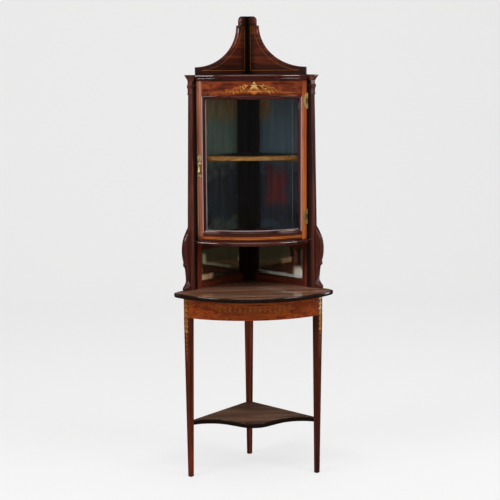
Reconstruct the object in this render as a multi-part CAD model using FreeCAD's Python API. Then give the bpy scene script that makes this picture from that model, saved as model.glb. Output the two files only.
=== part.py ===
"""Corner curio cabinet: a bow-fronted glazed display case on a three-legged corner stand.

Units are millimetres, +Z is up. The model is drawn from the room corner that the cabinet
stands in: the two walls meet at x = 0, y = 0 and run away to the front left and front right.
Every piece is moved, when it is written, so that the origin lies under the middle of the cabinet.

Most of the cabinet lies along the walls. Such pieces are drawn once in the side frame
(s, o, z): s runs along the left wall from the corner, o stands out from the wall, z is up.
The right side is the mirror image of the left. The bowed pieces are drawn about the bow's
axis, an upright line behind the door, by radius and by angle from straight ahead.
"""
import FreeCAD, Part
import math
import os

Vector = FreeCAD.Vector
ROOT2 = math.sqrt(2.0)
UP = Vector(0, 0, 1)

# ---------------------------------------------------------------- stand
leg_height = 762.0              # floor to the underside of the table top
leg_side = 29.0                 # square leg beside the apron
foot_side = 17.0                # square leg at the floor
leg_inset = 18.0                # leg centre to the wall
leg_reach = 388.5               # corner to the front leg centre, along the wall
taper_drop = 12.0               # the taper starts this far below the apron
frieze_height = 89.0
frieze_thickness = 20.0
frieze_bow = 76.0               # rise of the bowed frieze in front of the legs
rail_thickness = 18.0
rail_setback = 1.5              # side rail behind the outer face of the legs
tenon_thickness = 8.0
tenon_length = 10.0
tenon_shoulder = 12.0           # tenon edge to the rail edge

# ---------------------------------------------------------------- table top
table_thickness = 20.0
table_reach = 457.5             # corner to the square tip, along the wall
table_depth = 480.0             # corner to the middle of the bowed front
table_tip_radius = 10.0
table_upper_chamfer = 4.0
table_lower_chamfer = 6.0

# ---------------------------------------------------------------- undertier
undertier_height = 214.0        # floor to its underside
undertier_thickness = 20.0
undertier_depth = 339.0         # corner to the tip of the serpentine front
undertier_waist = 261.0         # corner to the hollows of the serpentine front
undertier_half_wave = 190.0     # tip to hollow, across the cabinet
undertier_setback = 1.0         # back edge behind the outer face of the legs
undertier_tip_radius = 95.0
undertier_slope = 35.0          # degrees, the straight run between tip and hollow
undertier_chamfer = 3.0
undertier_rim_margin = 1.0      # keeps the edges along the walls square

# ---------------------------------------------------------------- glue blocks
block_length = 60.0
block_width = 22.0
block_places = (110.0, 290.0)   # corner to each block, along the wall

# ---------------------------------------------------------------- back frames
display_height = 181.0          # table top to the floor of the case
floor_thickness = 18.0
backboard_inset = 2.0           # backboard to the wall
backboard_thickness = 6.0
frame_thickness = 12.0
mirror_thickness = 4.0
mirror_lap = 6.0                # mirror held behind the frame
corner_stile_width = 57.0
corner_stile_foot_width = 38.5  # beside the lower mirror
front_stile_width = 38.0
bottom_rail_height = 30.0
middle_rail_drop = 25.0         # middle rail below the case floor
middle_rail_rise = 22.0         # middle rail above the case floor
top_rail_height = 33.0
jamb_thickness = 6.6            # jamb beside the door, planted on the front stile

# ---------------------------------------------------------------- posts and brackets
post_reach = 358.5              # corner to the outer face of the post, below the capital
post_width = 9.5                # at the capital
post_splay = 19.0               # how much wider the post is at its foot
post_depth = 26.0
reed_count = 4
reed_margin = 1.5
reed_depth = 2.0
capital_height = 56.0
capital_overhang = 0.5
astragal_height = 8.0
astragal_overhang = 2.5
astragal_chamfer = 2.5
roll_drop = 30.0                # foot of the capital's roll below the cornice
roll_height = 16.0
roll_overhang = 4.5
roll_chamfer = 4.0
bracket_thickness = 18.0
bracket_inset = 2.0             # bracket to the wall
bracket_height = 254.0
# the bracket's outline, each point beyond the head of the post and above the table:
# the leaf, the knuckle, then the foot
bracket_leaf = ((27.5, 233.5), (41.0, 210.0), (49.0, 174.0), (42.0, 118.0))
bracket_knuckle = (43.5, 101.0)
bracket_foot = ((34.0, 91.0), (30.0, 62.0), (28.3, 36.0), (35.5, 23.5), (45.5, 13.0), (47.8, 6.5),
                (45.0, 0.0))

# ---------------------------------------------------------------- bowed door
bow_radius = 400.0              # front face of the door
door_reach = 338.7              # corner to the front edge of the door, along the wall
door_gap = 1.0
door_height = 635.0
door_thickness = 20.0
door_stile_width = 23.5
door_top_rail_height = 58.5
door_bottom_rail_height = 30.0
bead_width = 14.0
bead_proud = 1.5                # bead in front of the door
bead_flat = 5.0
bead_lip = 2.5                  # bead above the glass at its inner edge
bead_fullness = 0.75            # height of the bead's slope half way in
glass_thickness = 3.0
glass_lap = 8.0                 # lip of the frame behind the glass
glass_gap = 1.0
lip_thickness = 6.0

# ---------------------------------------------------------------- case
base_projection = 12.0
base_chamfer = 5.0
base_end_inset = 23.0           # end of the nosing to the wall
base_end_radius = 11.0
top_thickness = 18.0
cornice_height = 23.0
cornice_inset = 4.0             # cornice strip reaches in behind the door face
cornice_foot = 4.0              # foot of the cornice in front of the door face
cornice_projection = 14.0
cornice_bead = 8.0
cornice_chamfer = 2.0
cornice_groove = 5.0
cornice_end_overhang = 17.5     # cap beyond the outer face of the post
cornice_end_lap = 3.0           # cap beyond the inner face of the post
cornice_hollow = 18.5
cornice_hollow_offset = 3.0

# ---------------------------------------------------------------- gallery
gallery_thickness = 16.0
gallery_height = 236.0
gallery_reach = 317.0
gallery_end_height = 30.0
gallery_shoulder = 67.5         # corner to the shoulder, along the wall
gallery_shoulder_drop = 38.0    # shoulder below the top
gallery_lobe = 56.0             # corner to the side of the lobe, along the wall
gallery_lobe_round = 21.0

# ---------------------------------------------------------------- shelf and stop
shelf_height = 322.0            # case floor to the underside of the shelf
shelf_thickness = 17.0
shelf_clearance = 1.0
shelf_setback = 15.0            # shelf edge behind the door
edging_thickness = 3.0
batten_width = 8.0
batten_height = 12.0
batten_start = 40.0
batten_seat = 3.0               # batten onto the front stile
stop_thickness = 7.0
stop_clearance = 0.8

# ---------------------------------------------------------------- hinges
hinge_length = 62.0
hinge_low = 91.5                # lower hinge centre above the foot of the door
hinge_high = 80.0               # upper hinge centre below the head of the door
leaf_thickness = 1.2
leaf_width = 16.5
leaf_tip_width = 4.0
leaf_edge = 0.5                 # leaf to the edge of the door
knuckle_radius = 3.5
knuckle_gap = 0.3
knuckle_web = 2.0
hinge_pin_radius = 1.5
hinge_pin_clearance = 0.05
hinge_pin_tip = 1.5             # pin beyond the knuckles
pivot_out = 4.5                 # hinge pin beyond the door edge, along the wall
pivot_proud = 3.5               # hinge pin in front of the door edge, from the wall
case_leaf_width = 19.0
case_leaf_thickness = 1.5
case_leaf_sink = 1.0            # case leaf let into the jamb

# ---------------------------------------------------------------- handle plate and drop pull
plate_height = 86.0
plate_thickness = 1.6
plate_foot = 257.0              # plate above the foot of the door
plate_across = 209.5            # plate centre to the middle of the cabinet
plate_neck = 7.0
plate_head_radius = 10.0
plate_head_drop = 24.0          # foot of the head below the top of the plate
plate_head_foot = 12.0
plate_ring_radius = 8.0
plate_tail_width = 19.0
plate_tail_height = 9.0
plate_hole_radius = 1.5
keyhole_radius = 2.0
keyhole_slot = 6.0
keyhole_slot_width = 1.8
pull_drop = 35.0                # pull pin below the top of the plate
pull_rest_gap = 0.5             # drop to the plate
pull_pin_radius = 1.2
pull_pin_clearance = 0.05
pull_ear_radius = 3.0
pull_ear_thickness = 2.0
pull_eye_thickness = 3.0
pull_eye_gap = 0.3
drop_radius = 5.5
drop_facets = 16
# the drop's outline: the radius at each depth below the pin
drop_profile = ((1.4, 0.0), (1.4, 4.0), (2.3, 13.0), (3.9, 24.0), (drop_radius, 32.5), (4.6, 36.0),
                (2.0, 38.0))

# ---------------------------------------------------------------- lock
lock_drop = 18.0                # lock centre below the top of the plate
lock_height = 44.0
lock_width = 17.0
lock_front = 9.0                # lock behind the front edge of the door
bolt_front = 11.0               # bolt behind the front edge of the door
bolt_thickness = 5.0
bolt_height = 14.0
bolt_length = 13.0
bolt_setback = 0.2
bolt_travel = 6.0
bolt_clearance = 0.3
strike_clearance = 1.0

# ---------------------------------------------------------------- margins of the cutting shapes
cut_margin = 1.0                # past the surface that is cut
past_angle_margin = 5.0         # degrees, past the edge of the door

# ---------------------------------------------------------------- places worked out from the sizes
table_z = leg_height + table_thickness
floor_z = table_z + display_height
case_z = floor_z + floor_thickness
door_z = case_z + door_gap
door_top_z = door_z + door_height
cornice_z = door_top_z + door_gap
top_z = cornice_z + cornice_height
frame_top_z = top_z - top_thickness
frieze_z = leg_height - frieze_height
taper_z = frieze_z - taper_drop
shelf_z = case_z + shelf_height

leg_x = (leg_reach - leg_inset) / ROOT2
leg_y = -(leg_reach + leg_inset) / ROOT2
rail_outer = leg_inset - leg_side / 2.0 + rail_setback
rail_inner = rail_outer + rail_thickness
frame_back = backboard_inset + backboard_thickness
frame_face = frame_back + frame_thickness
opening_start = frame_face + corner_stile_width
lower_opening_start = frame_face + corner_stile_foot_width
stile_end = post_reach - post_width
opening_end = stile_end - front_stile_width
jamb_face = frame_face + jamb_thickness
capital_z = cornice_z - capital_height

door_edge = jamb_face + door_gap
door_corner_x = (door_reach - door_edge) / ROOT2
door_corner_y = -(door_reach + door_edge) / ROOT2
bow_y = door_corner_y + math.sqrt(bow_radius ** 2 - door_corner_x ** 2)
door_back = bow_radius - door_thickness
lip_radius = door_back + lip_thickness
glass_radius = lip_radius + glass_thickness
corner_angle = math.degrees(math.asin(door_corner_x / bow_radius))
opening_angle = corner_angle - math.degrees(door_stile_width / bow_radius)
lap_angle = opening_angle - math.degrees(glass_lap / lip_radius)
bead_angle = opening_angle - math.degrees(bead_width / bow_radius)
past_angle = corner_angle + past_angle_margin
opening_foot_z = door_z + door_bottom_rail_height
opening_head_z = door_top_z - door_top_rail_height
cap_inner = post_depth + cornice_end_lap

pivot_s = door_reach + pivot_out
pivot_o = door_edge + pivot_proud
pivot_x = (pivot_s - pivot_o) / ROOT2
pivot_y = -(pivot_s + pivot_o) / ROOT2
pivot_radius = math.hypot(pivot_x, pivot_y - bow_y)
pivot_angle = math.degrees(math.atan2(pivot_x, bow_y - pivot_y))
hinge_places = (door_z + hinge_low, door_top_z - hinge_high)

door_front_y = bow_y - bow_radius
plate_z = door_z + plate_foot
plate_top_z = plate_z + plate_height
plate_angle = -math.degrees(math.asin(plate_across / bow_radius))
pull_z = plate_top_z - pull_drop
pull_y = door_front_y - plate_thickness - pull_rest_gap - drop_radius
lock_z = plate_top_z - lock_drop
far = 2.0 * table_reach


# ---------------------------------------------------------------- drawing aids
def write(node, shape):
    """Write one sub-part, with the origin under the middle of the cabinet."""
    placed = shape.copy()
    placed.translate(Vector(0, table_depth / 2.0, 0))
    placed.exportStep("parts/" + node + ".step")


def block(s0, s1, o0, o1, z0, z1):
    """A box in the side frame."""
    return Part.makeBox(s1 - s0, o1 - o0, z1 - z0, Vector(s0, o0, z0))


def left(shape):
    """Turn a side-frame shape onto the left wall."""
    placed = shape.copy()
    placed.rotate(Vector(0, 0, 0), UP, -135)
    return placed


def right(shape):
    """Turn a side-frame shape onto the right wall, as a mirror image."""
    return left(shape).mirror(Vector(0, 0, 0), Vector(1, 0, 0))


def write_pair(name, shape):
    """Write a side-frame piece for the left wall and its mirror image for the right."""
    write(name + "_left", left(shape))
    write(name + "_right", right(shape))


def line(a, b):
    """A straight edge between two points."""
    return Part.LineSegment(a, b).toShape()


def chain(points):
    """Straight edges from each point to the next."""
    return [line(a, b) for a, b in zip(points, points[1:])]


def arc(a, b, c):
    """A round edge from a to c through b."""
    return Part.Arc(a, b, c).toShape()


def arcs(points):
    """Round edges end to end, each through three points."""
    return [arc(a, b, c) for a, b, c in zip(points[::2], points[1::2], points[2::2])]


def tangent_arc(start, direction, end):
    """A round edge in an upright side plane that leaves its start in a given direction."""
    chord = end - start
    normal = Vector(-direction.z, 0, direction.x)
    centre = start + normal * (chord.Length ** 2 / (2.0 * normal.dot(chord)))
    outward = ((start + end) * 0.5 - centre).normalize()
    return arc(start, centre + outward * (start - centre).Length, end)


def outline(edges):
    """A flat face inside a closed outline."""
    return Part.Face(Part.Wire(edges))


def faceted(rings):
    """A solid with flat sides from each closed ring of points to the next."""
    faces = [outline(chain(rings[0])), outline(chain(rings[-1]))]
    for upper, lower in zip(rings, rings[1:]):
        for a, b, c, d in zip(upper, upper[1:], lower[1:], lower):
            faces.append(outline(chain([a, b, c, d, a])))
    return Part.makeSolid(Part.makeShell(faces))


def group(solids):
    """Several separate solids that share one node."""
    return Part.makeCompound(solids)


def at(value, target):
    """Whether a coordinate lies on a plane."""
    return abs(value - target) < 1e-4


def halfway(edge):
    """The point half way along an edge."""
    return edge.valueAt((edge.FirstParameter + edge.LastParameter) / 2.0)


def edges_where(shape, test):
    """The edges of a shape whose ends and middle all pass a test."""
    chosen = []
    for edge in shape.Edges:
        points = [vertex.Point for vertex in edge.Vertexes] + [halfway(edge)]
        if all(test(point) for point in points):
            chosen.append(edge)
    return chosen


def bow_point(radius, angle, z):
    """A point about the bow's axis; the angle is from straight ahead, plus to the right."""
    turn = math.radians(angle)
    return Vector(radius * math.sin(turn), bow_y - radius * math.cos(turn), z)


def bow_arc(radius, a0, a1, z):
    """A round edge about the bow's axis."""
    return arc(bow_point(radius, a0, z), bow_point(radius, (a0 + a1) / 2.0, z), bow_point(radius, a1, z))


def bowed(r0, r1, a0, a1, z0, z1):
    """An upright bowed board between two radii and two angles."""
    edges = [
        bow_arc(r1, a0, a1, z0),
        line(bow_point(r1, a1, z0), bow_point(r0, a1, z0)),
        bow_arc(r0, a1, a0, z0),
        line(bow_point(r0, a0, z0), bow_point(r1, a0, z0)),
    ]
    return outline(edges).extrude(Vector(0, 0, z1 - z0))


def bow_disc(radius, z0, z1):
    """A round slab about the bow's axis."""
    return Part.makeCylinder(radius, z1 - z0, Vector(0, bow_y, z0))


def turned(shape, angle):
    """Turn a shape drawn straight ahead to its angle round the bow."""
    placed = shape.copy()
    placed.rotate(Vector(0, bow_y, 0), UP, angle)
    return placed


def ahead(radius, z):
    """A point of a moulding's profile, drawn straight ahead."""
    return Vector(0, bow_y - radius, z)


def bow_moulding(profile, angle):
    """Sweep a profile, drawn straight ahead, round the bow to both sides."""
    start = turned(outline(profile), -angle)
    return start.revolve(Vector(0, bow_y, 0), UP, 2.0 * angle)


def between_walls(offset, z0, z1):
    """The wedge of room that stands at least this far from both walls."""
    apex = Vector(0, -offset * ROOT2, z0)
    points = [apex, apex + Vector(-far, -far, 0), apex + Vector(far, -far, 0), apex]
    return outline(chain(points)).extrude(Vector(0, 0, z1 - z0))


# ---------------------------------------------------------------- stand
def half_side(z):
    """Half the side of a leg at a height."""
    taper = min(z, taper_z) / taper_z
    return (foot_side + (leg_side - foot_side) * taper) / 2.0


def leg(s, o):
    """A square leg, straight beside the apron and tapered on four sides below it."""
    rings = []
    for z in (0.0, taper_z, leg_height):
        h = half_side(z)
        corners = ((-1, -1), (1, -1), (1, 1), (-1, 1), (-1, -1))
        rings.append([Vector(s + a * h, o + b * h, z) for a, b in corners])
    return faceted(rings)


def tenon(s0, s1):
    """A tenon of a side rail."""
    middle = (rail_outer + rail_inner) / 2.0
    half = tenon_thickness / 2.0
    return block(s0, s1, middle - half, middle + half, frieze_z + tenon_shoulder, leg_height - tenon_shoulder)


def rail_tenons():
    """The tenons at the back and front ends of a side rail."""
    start = leg_inset + leg_side / 2.0
    end = leg_reach - leg_side / 2.0
    return [tenon(start - tenon_length, start), tenon(end, end + tenon_length)]


def side_rail():
    """The straight rail along the wall, tenoned into both legs."""
    start = leg_inset + leg_side / 2.0
    end = leg_reach - leg_side / 2.0
    rail = block(start, end, rail_outer, rail_inner, frieze_z, leg_height)
    return rail.fuse(rail_tenons()).removeSplitter()


def frieze(legs):
    """The bowed apron between the front corners of the front legs."""
    end_y = leg_y - leg_side / ROOT2
    radius = (leg_x ** 2 + frieze_bow ** 2) / (2.0 * frieze_bow)
    centre = Vector(0, end_y - frieze_bow + radius, frieze_z)
    outer = Vector(leg_x, end_y, frieze_z)
    inner = outer + (centre - outer).normalize() * frieze_thickness
    outer_left = Vector(-outer.x, outer.y, frieze_z)
    inner_left = Vector(-inner.x, inner.y, frieze_z)
    edges = [
        arc(outer_left, centre - Vector(0, radius, 0), outer),
        line(outer, inner),
        arc(inner, centre - Vector(0, radius - frieze_thickness, 0), inner_left),
        line(inner_left, outer_left),
    ]
    return outline(edges).extrude(Vector(0, 0, frieze_height)).cut(legs)


def table_top():
    """The bowed table top with a thumb-moulded front edge."""
    tip = table_reach / ROOT2
    corner = Vector(0, 0, leg_height)
    right_tip = Vector(tip, -tip, leg_height)
    left_tip = Vector(-tip, -tip, leg_height)
    edges = chain([left_tip, corner, right_tip])
    edges.append(arc(right_tip, Vector(0, -table_depth, leg_height), left_tip))
    top = outline(edges).extrude(Vector(0, 0, table_thickness))
    top = top.makeFillet(table_tip_radius, edges_where(top, lambda p: at(abs(p.x), tip)))

    def front(p):
        return p.y < -abs(p.x) - 1e-3 or abs(p.x) > tip - 2.0 * table_tip_radius

    rim = edges_where(top, lambda p: at(p.z, table_z) and front(p))
    top = top.makeChamfer(table_upper_chamfer, rim)
    rim = edges_where(top, lambda p: at(p.z, leg_height) and front(p))
    return top.makeChamfer(table_lower_chamfer, rim)


def serpentine(z):
    """The front line of the undertier: a round tip, two straight runs and two hollows, all tangent."""
    slope = math.radians(undertier_slope)
    across = undertier_half_wave
    rise = undertier_depth - undertier_waist
    half_rise = math.tan(slope / 2.0)
    run = (rise - across * half_rise) / (math.sin(slope) - math.cos(slope) * half_rise)
    hollow = (across - run * math.cos(slope)) / math.sin(slope) - undertier_tip_radius
    tip = Vector(0, -undertier_depth, z)
    tip_end = Vector(undertier_tip_radius * math.sin(slope),
                     -undertier_depth + undertier_tip_radius * (1.0 - math.cos(slope)), z)
    run_end = tip_end + Vector(run * math.cos(slope), run * math.sin(slope), 0)
    waist = Vector(across, -undertier_waist, z)
    past = leg_x - across
    end = Vector(leg_x, -undertier_waist - hollow + math.sqrt(hollow ** 2 - past ** 2), z)
    points = [end, waist, run_end, tip_end]
    opposite = [Vector(-p.x, p.y, p.z) for p in points]
    edges = [arc(opposite[0], opposite[1], opposite[2]), line(opposite[2], opposite[3]),
             arc(opposite[3], tip, tip_end), line(tip_end, run_end), arc(run_end, waist, end)]
    return edges, opposite[0], end


def undertier(legs):
    """The low shelf with a serpentine front, notched round the legs."""
    z0 = undertier_height
    z1 = z0 + undertier_thickness
    back = leg_inset - half_side(z0) + undertier_setback
    corner = Vector(0, -back * ROOT2, z0)
    front, left_front, right_front = serpentine(z0)
    right_end = corner + Vector(leg_x, -leg_x, 0)
    left_end = corner + Vector(-leg_x, -leg_x, 0)
    edges = front + chain([right_front, right_end, corner, left_end, left_front])
    shelf = outline(edges).extrude(Vector(0, 0, undertier_thickness))

    def front_rim(p):
        return (at(p.z, z0) or at(p.z, z1)) and p.y + abs(p.x) < corner.y - undertier_rim_margin

    shelf = shelf.makeChamfer(undertier_chamfer, [edge for edge in shelf.Edges if front_rim(halfway(edge))])
    return shelf.cut(legs)


def glue_block(s):
    """A triangular block that ties a side rail to the table top."""
    low = Vector(s, rail_inner, leg_height - block_width)
    inner = Vector(s, rail_inner, leg_height)
    outer = Vector(s, rail_inner + block_width, leg_height)
    return outline(chain([low, inner, outer, low])).extrude(Vector(block_length, 0, 0))


def both_sides(solids):
    """The same side-frame solids on both walls."""
    return [left(solid) for solid in solids] + [right(solid) for solid in solids]


def write_stand():
    """The legs, apron, table top and undertier."""
    back_leg = left(leg(leg_inset, leg_inset))
    front_leg = left(leg(leg_reach, leg_inset))
    front_legs = [front_leg, front_leg.mirror(Vector(0, 0, 0), Vector(1, 0, 0))]
    tenons = both_sides(rail_tenons())
    write("leg_back", back_leg.cut(tenons))
    write("leg_front_left", front_legs[0].cut(tenons))
    write("leg_front_right", front_legs[1].cut(tenons))
    write("frieze_front", frieze(front_legs))
    write_pair("side_rail", side_rail())
    write("table_top", table_top())
    write("undertier", undertier(front_legs + [back_leg]))
    write("glue_blocks", group(both_sides([glue_block(s) for s in block_places])))


# ---------------------------------------------------------------- back frames
def mirror_bed(start, z0, z1):
    """The rebate behind one opening of a side frame, which the mirror fills."""
    return block(start - mirror_lap, opening_end + mirror_lap,
                 frame_back, frame_back + mirror_thickness, z0 - mirror_lap, z1 + mirror_lap)


def frame_piece(s0, s1, z0, z1, beds):
    """One stile or rail of a side frame, rebated for the mirrors."""
    return block(s0, s1, frame_back, frame_face, z0, z1).cut(beds)


def write_frames():
    """The framed mirrors and backboards along both walls."""
    lower_head_z = floor_z - middle_rail_drop
    upper_foot_z = case_z + middle_rail_rise
    upper_head_z = frame_top_z - top_rail_height
    lower_bed = mirror_bed(lower_opening_start, table_z + bottom_rail_height, lower_head_z)
    upper_bed = mirror_bed(opening_start, upper_foot_z, upper_head_z)
    beds = [lower_bed, upper_bed]
    lower_rails = (lower_opening_start, opening_end)
    stile_foot = frame_piece(frame_face, lower_opening_start, table_z, upper_foot_z, beds)
    stile_head = frame_piece(frame_face, opening_start, upper_foot_z, frame_top_z, beds)
    post = block(backboard_inset, frame_face, backboard_inset, frame_face, table_z, frame_top_z)
    write("corner_post", left(post))
    write_pair("backboard", block(frame_face, stile_end, backboard_inset, frame_back, table_z, frame_top_z))
    write_pair("corner_stile", stile_foot.fuse(stile_head).removeSplitter())
    write_pair("front_stile", frame_piece(opening_end, stile_end, table_z, frame_top_z, beds))
    write_pair("bottom_rail", frame_piece(*lower_rails, table_z, table_z + bottom_rail_height, beds))
    write_pair("middle_rail", frame_piece(*lower_rails, lower_head_z, upper_foot_z, beds))
    write_pair("top_rail", frame_piece(opening_start, opening_end, upper_head_z, frame_top_z, beds))
    write_pair("lower_mirror", lower_bed)
    write_pair("upper_mirror", upper_bed)


# ---------------------------------------------------------------- posts and brackets
def post_face(z):
    """The outer face of a post, from the corner along the wall: it splays evenly towards the foot."""
    return post_reach + post_splay * (capital_z - z) / (capital_z - table_z)


def ring(overhang, chamfer, z0, z1):
    """A chamfered band round the three open sides of a capital."""
    s1 = post_reach + overhang
    o1 = post_depth + overhang
    band = block(stile_end, s1, 0, o1, z0, z1)
    rim = edges_where(band, lambda p: (at(p.x, s1) or at(p.y, o1)) and (at(p.z, z0) or at(p.z, z1)))
    return band.makeChamfer(chamfer, rim)


def capital():
    """The head of a post: an astragal, a neck and a roll."""
    roll_z = cornice_z - roll_drop
    astragal = ring(astragal_overhang, astragal_chamfer, capital_z, capital_z + astragal_height)
    roll = ring(roll_overhang, roll_chamfer, roll_z, roll_z + roll_height)
    neck = block(stile_end, post_reach + capital_overhang, 0, post_depth + capital_overhang,
                 capital_z + astragal_height, cornice_z)
    return neck.fuse([astragal, roll])


def reeds():
    """The reeds up the outer face of a post, rooted in its core."""
    root = post_face(table_z) - reed_depth
    pitch = (post_depth - 2.0 * reed_margin) / reed_count
    points = [Vector(root, reed_margin, table_z)]
    for i in range(reed_count):
        o = reed_margin + i * pitch
        points += [Vector(root + reed_depth, o + pitch / 2.0, table_z), Vector(root, o + pitch, table_z)]
    inward = Vector(-cut_margin, 0, 0)
    back = chain([points[-1], points[-1] + inward, points[0] + inward, points[0]])
    return outline(arcs(points) + back).extrude(Vector(-post_splay, 0, capital_z - table_z))


def post():
    """The splayed post on the front edge of the case side: a core, the reeds up its face, a capital."""
    core = chain([Vector(stile_end, 0, table_z), Vector(post_face(table_z) - reed_depth, 0, table_z),
                  Vector(post_face(capital_z) - reed_depth, 0, capital_z), Vector(stile_end, 0, capital_z),
                  Vector(stile_end, 0, table_z)])
    shaft = outline(core).extrude(Vector(0, post_depth, 0))
    return shaft.fuse([reeds(), capital()]).removeSplitter()


def bracket():
    """The scrolled bracket that spreads the foot of a post."""
    head = Vector(post_face(table_z + bracket_height), bracket_inset, table_z + bracket_height)
    leaf = [head] + [Vector(post_reach + p, bracket_inset, table_z + h) for p, h in bracket_leaf]
    knuckle = Vector(post_reach + bracket_knuckle[0], bracket_inset, table_z + bracket_knuckle[1])
    foot = [Vector(post_reach + p, bracket_inset, table_z + h) for p, h in bracket_foot]
    inner_foot = Vector(post_face(table_z), bracket_inset, table_z)
    edges = arcs(leaf) + chain([leaf[-1], knuckle, foot[0]]) + arcs(foot)
    edges += chain([foot[-1], inner_foot, head])
    return outline(edges).extrude(Vector(0, bracket_thickness, 0))


def write_posts():
    """The posts, with the brackets at their feet."""
    write_pair("post", post())
    write_pair("bracket", bracket())


# ---------------------------------------------------------------- case
def cabinet_floor():
    """The floor of the case, between the side frames and under the door."""
    return between_walls(frame_face, floor_z, case_z).common(bow_disc(bow_radius, floor_z, case_z))


def base_moulding():
    """The nosing round the floor of the case, eased above and below and rounded at its ends."""
    r1 = bow_radius + base_projection
    r2 = r1 - base_chamfer
    profile = chain([ahead(r2, case_z), ahead(bow_radius, case_z), ahead(bow_radius, floor_z),
                     ahead(r2, floor_z), ahead(r1, floor_z + base_chamfer), ahead(r1, case_z - base_chamfer),
                     ahead(r2, case_z)])
    reach = between_walls(base_end_inset, floor_z, case_z).common(bow_disc(r1, floor_z, case_z))
    ends = edges_where(reach, lambda p: at(math.hypot(p.x, p.y - bow_y), r1) and p.z > floor_z - 1.0)
    ends = [edge for edge in ends if at(edge.Length, floor_thickness)]
    reach = reach.makeFillet(base_end_radius, ends)
    return bow_moulding(profile, past_angle).common(reach)


def cabinet_top():
    """The board that closes the case and carries the gallery."""
    middle = between_walls(cap_inner, frame_top_z, top_z)
    middle = middle.common(bow_disc(bow_radius - cornice_inset, frame_top_z, top_z))
    wing = block(0, stile_end, 0, cap_inner, frame_top_z, top_z)
    lid = middle.fuse([left(wing), right(wing)]).removeSplitter()
    return lid.common(between_walls(0.0, frame_top_z, top_z))


def cornice_front():
    """The bowed cornice: an upper bead, a groove, a lower bead and a sloping foot."""
    r0 = bow_radius - cornice_inset
    r1 = bow_radius + cornice_projection
    r2 = r1 - cornice_groove
    foot = bow_radius + cornice_foot
    chamfer = cornice_chamfer
    groove_top_z = top_z - cornice_bead
    groove_foot_z = groove_top_z - (cornice_height - 2.0 * cornice_bead) / 4.0
    bead_foot_z = groove_foot_z - cornice_bead
    profile = chain([
        ahead(foot, cornice_z), ahead(r0, cornice_z), ahead(r0, top_z), ahead(r1 - chamfer, top_z),
        ahead(r1, top_z - chamfer), ahead(r1, groove_top_z + chamfer), ahead(r1 - chamfer, groove_top_z),
        ahead(r2 - chamfer, groove_top_z), ahead(r2 - chamfer, groove_foot_z), ahead(r2, groove_foot_z - chamfer),
        ahead(r2, bead_foot_z + chamfer), ahead(r2 - chamfer, bead_foot_z), ahead(foot, cornice_z),
    ])
    return bow_moulding(profile, past_angle).common(between_walls(cap_inner, cornice_z, top_z))


def cornice_end():
    """The cap over a post, hollowed under its overhang."""
    s1 = post_reach + cornice_end_overhang
    cap = block(stile_end, s1, 0, cap_inner, cornice_z, top_z)
    axis = Vector(s1 + cornice_hollow_offset, -far / 2.0, cornice_z)
    return cap.cut(Part.makeCylinder(cornice_hollow, far, axis, Vector(0, 1, 0)))


def gallery():
    """One board of the gallery: a hollow sweep of two arcs up to a shoulder and a round lobe."""
    z1 = top_z + gallery_height
    end_z = top_z + gallery_end_height
    shoulder_z = z1 - gallery_shoulder_drop
    lobe_top = gallery_lobe - gallery_lobe_round
    lobe_bend = gallery_lobe_round * (1.0 - math.sqrt(0.5))
    shoulder = Vector(gallery_shoulder, 0, shoulder_z)
    end = Vector(gallery_reach, 0, end_z)
    waist = end - Vector((end.x - shoulder.x) * math.sqrt(0.5), 0, 0)
    waist.z = shoulder.z - (shoulder.z - end.z) * math.sqrt(0.5)
    edges = [tangent_arc(shoulder, Vector(0, 0, -1), waist), tangent_arc(end, Vector(-1, 0, 0), waist)]
    edges += chain([end, Vector(gallery_reach, 0, top_z), Vector(0, 0, top_z), Vector(0, 0, z1),
                    Vector(lobe_top, 0, z1)])
    lobe_side = Vector(gallery_lobe, 0, z1 - gallery_lobe_round)
    edges.append(arc(Vector(lobe_top, 0, z1), Vector(gallery_lobe - lobe_bend, 0, z1 - lobe_bend), lobe_side))
    edges += chain([lobe_side, Vector(gallery_lobe, 0, shoulder_z), shoulder])
    board = left(outline(edges).extrude(Vector(0, gallery_thickness, 0)))
    return board.common(Part.makeBox(far, far, far, Vector(-far, -far, top_z)))


def write_case():
    """The floor, top, cornice and gallery of the case."""
    write("cabinet_floor", cabinet_floor())
    write("base_moulding", base_moulding())
    write("cabinet_top", cabinet_top())
    write("cornice_front", cornice_front())
    write_pair("cornice_end", cornice_end())
    board = gallery()
    write("gallery_left", board)
    write("gallery_right", board.mirror(Vector(0, 0, 0), Vector(1, 0, 0)))


# ---------------------------------------------------------------- shelf, jambs and door stop
def batten():
    """The bearer that carries one side of the shelf."""
    return block(batten_start, opening_end + batten_seat, frame_face, frame_face + batten_width,
                 shelf_z - batten_height, shelf_z)


def write_interior():
    """The shelf on its battens, the jambs beside the door, and the stop that it closes on."""
    edge_radius = door_back - shelf_setback
    board_radius = edge_radius - edging_thickness
    z1 = shelf_z + shelf_thickness
    room = between_walls(frame_face + shelf_clearance, shelf_z, z1)
    write("shelf", room.common(bow_disc(board_radius, shelf_z, z1)))
    write("shelf_edging", bowed(board_radius, edge_radius, -past_angle, past_angle, shelf_z, z1).common(room))
    write("shelf_battens", group(both_sides([batten()])))
    stop = left(block(opening_end, door_reach, jamb_face, jamb_face + stop_thickness, case_z, frame_top_z))
    stop = stop.common(bow_disc(door_back - stop_clearance, case_z, frame_top_z))
    write("door_stop", stop.cut(left(batten())))
    jamb = block(opening_end, stile_end, frame_face, jamb_face, case_z, frame_top_z).cut(batten())
    write("jamb_left", left(jamb.cut(strike())))
    write("jamb_right", right(jamb.cut([case_leaf(z) for z in hinge_places])))


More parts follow.
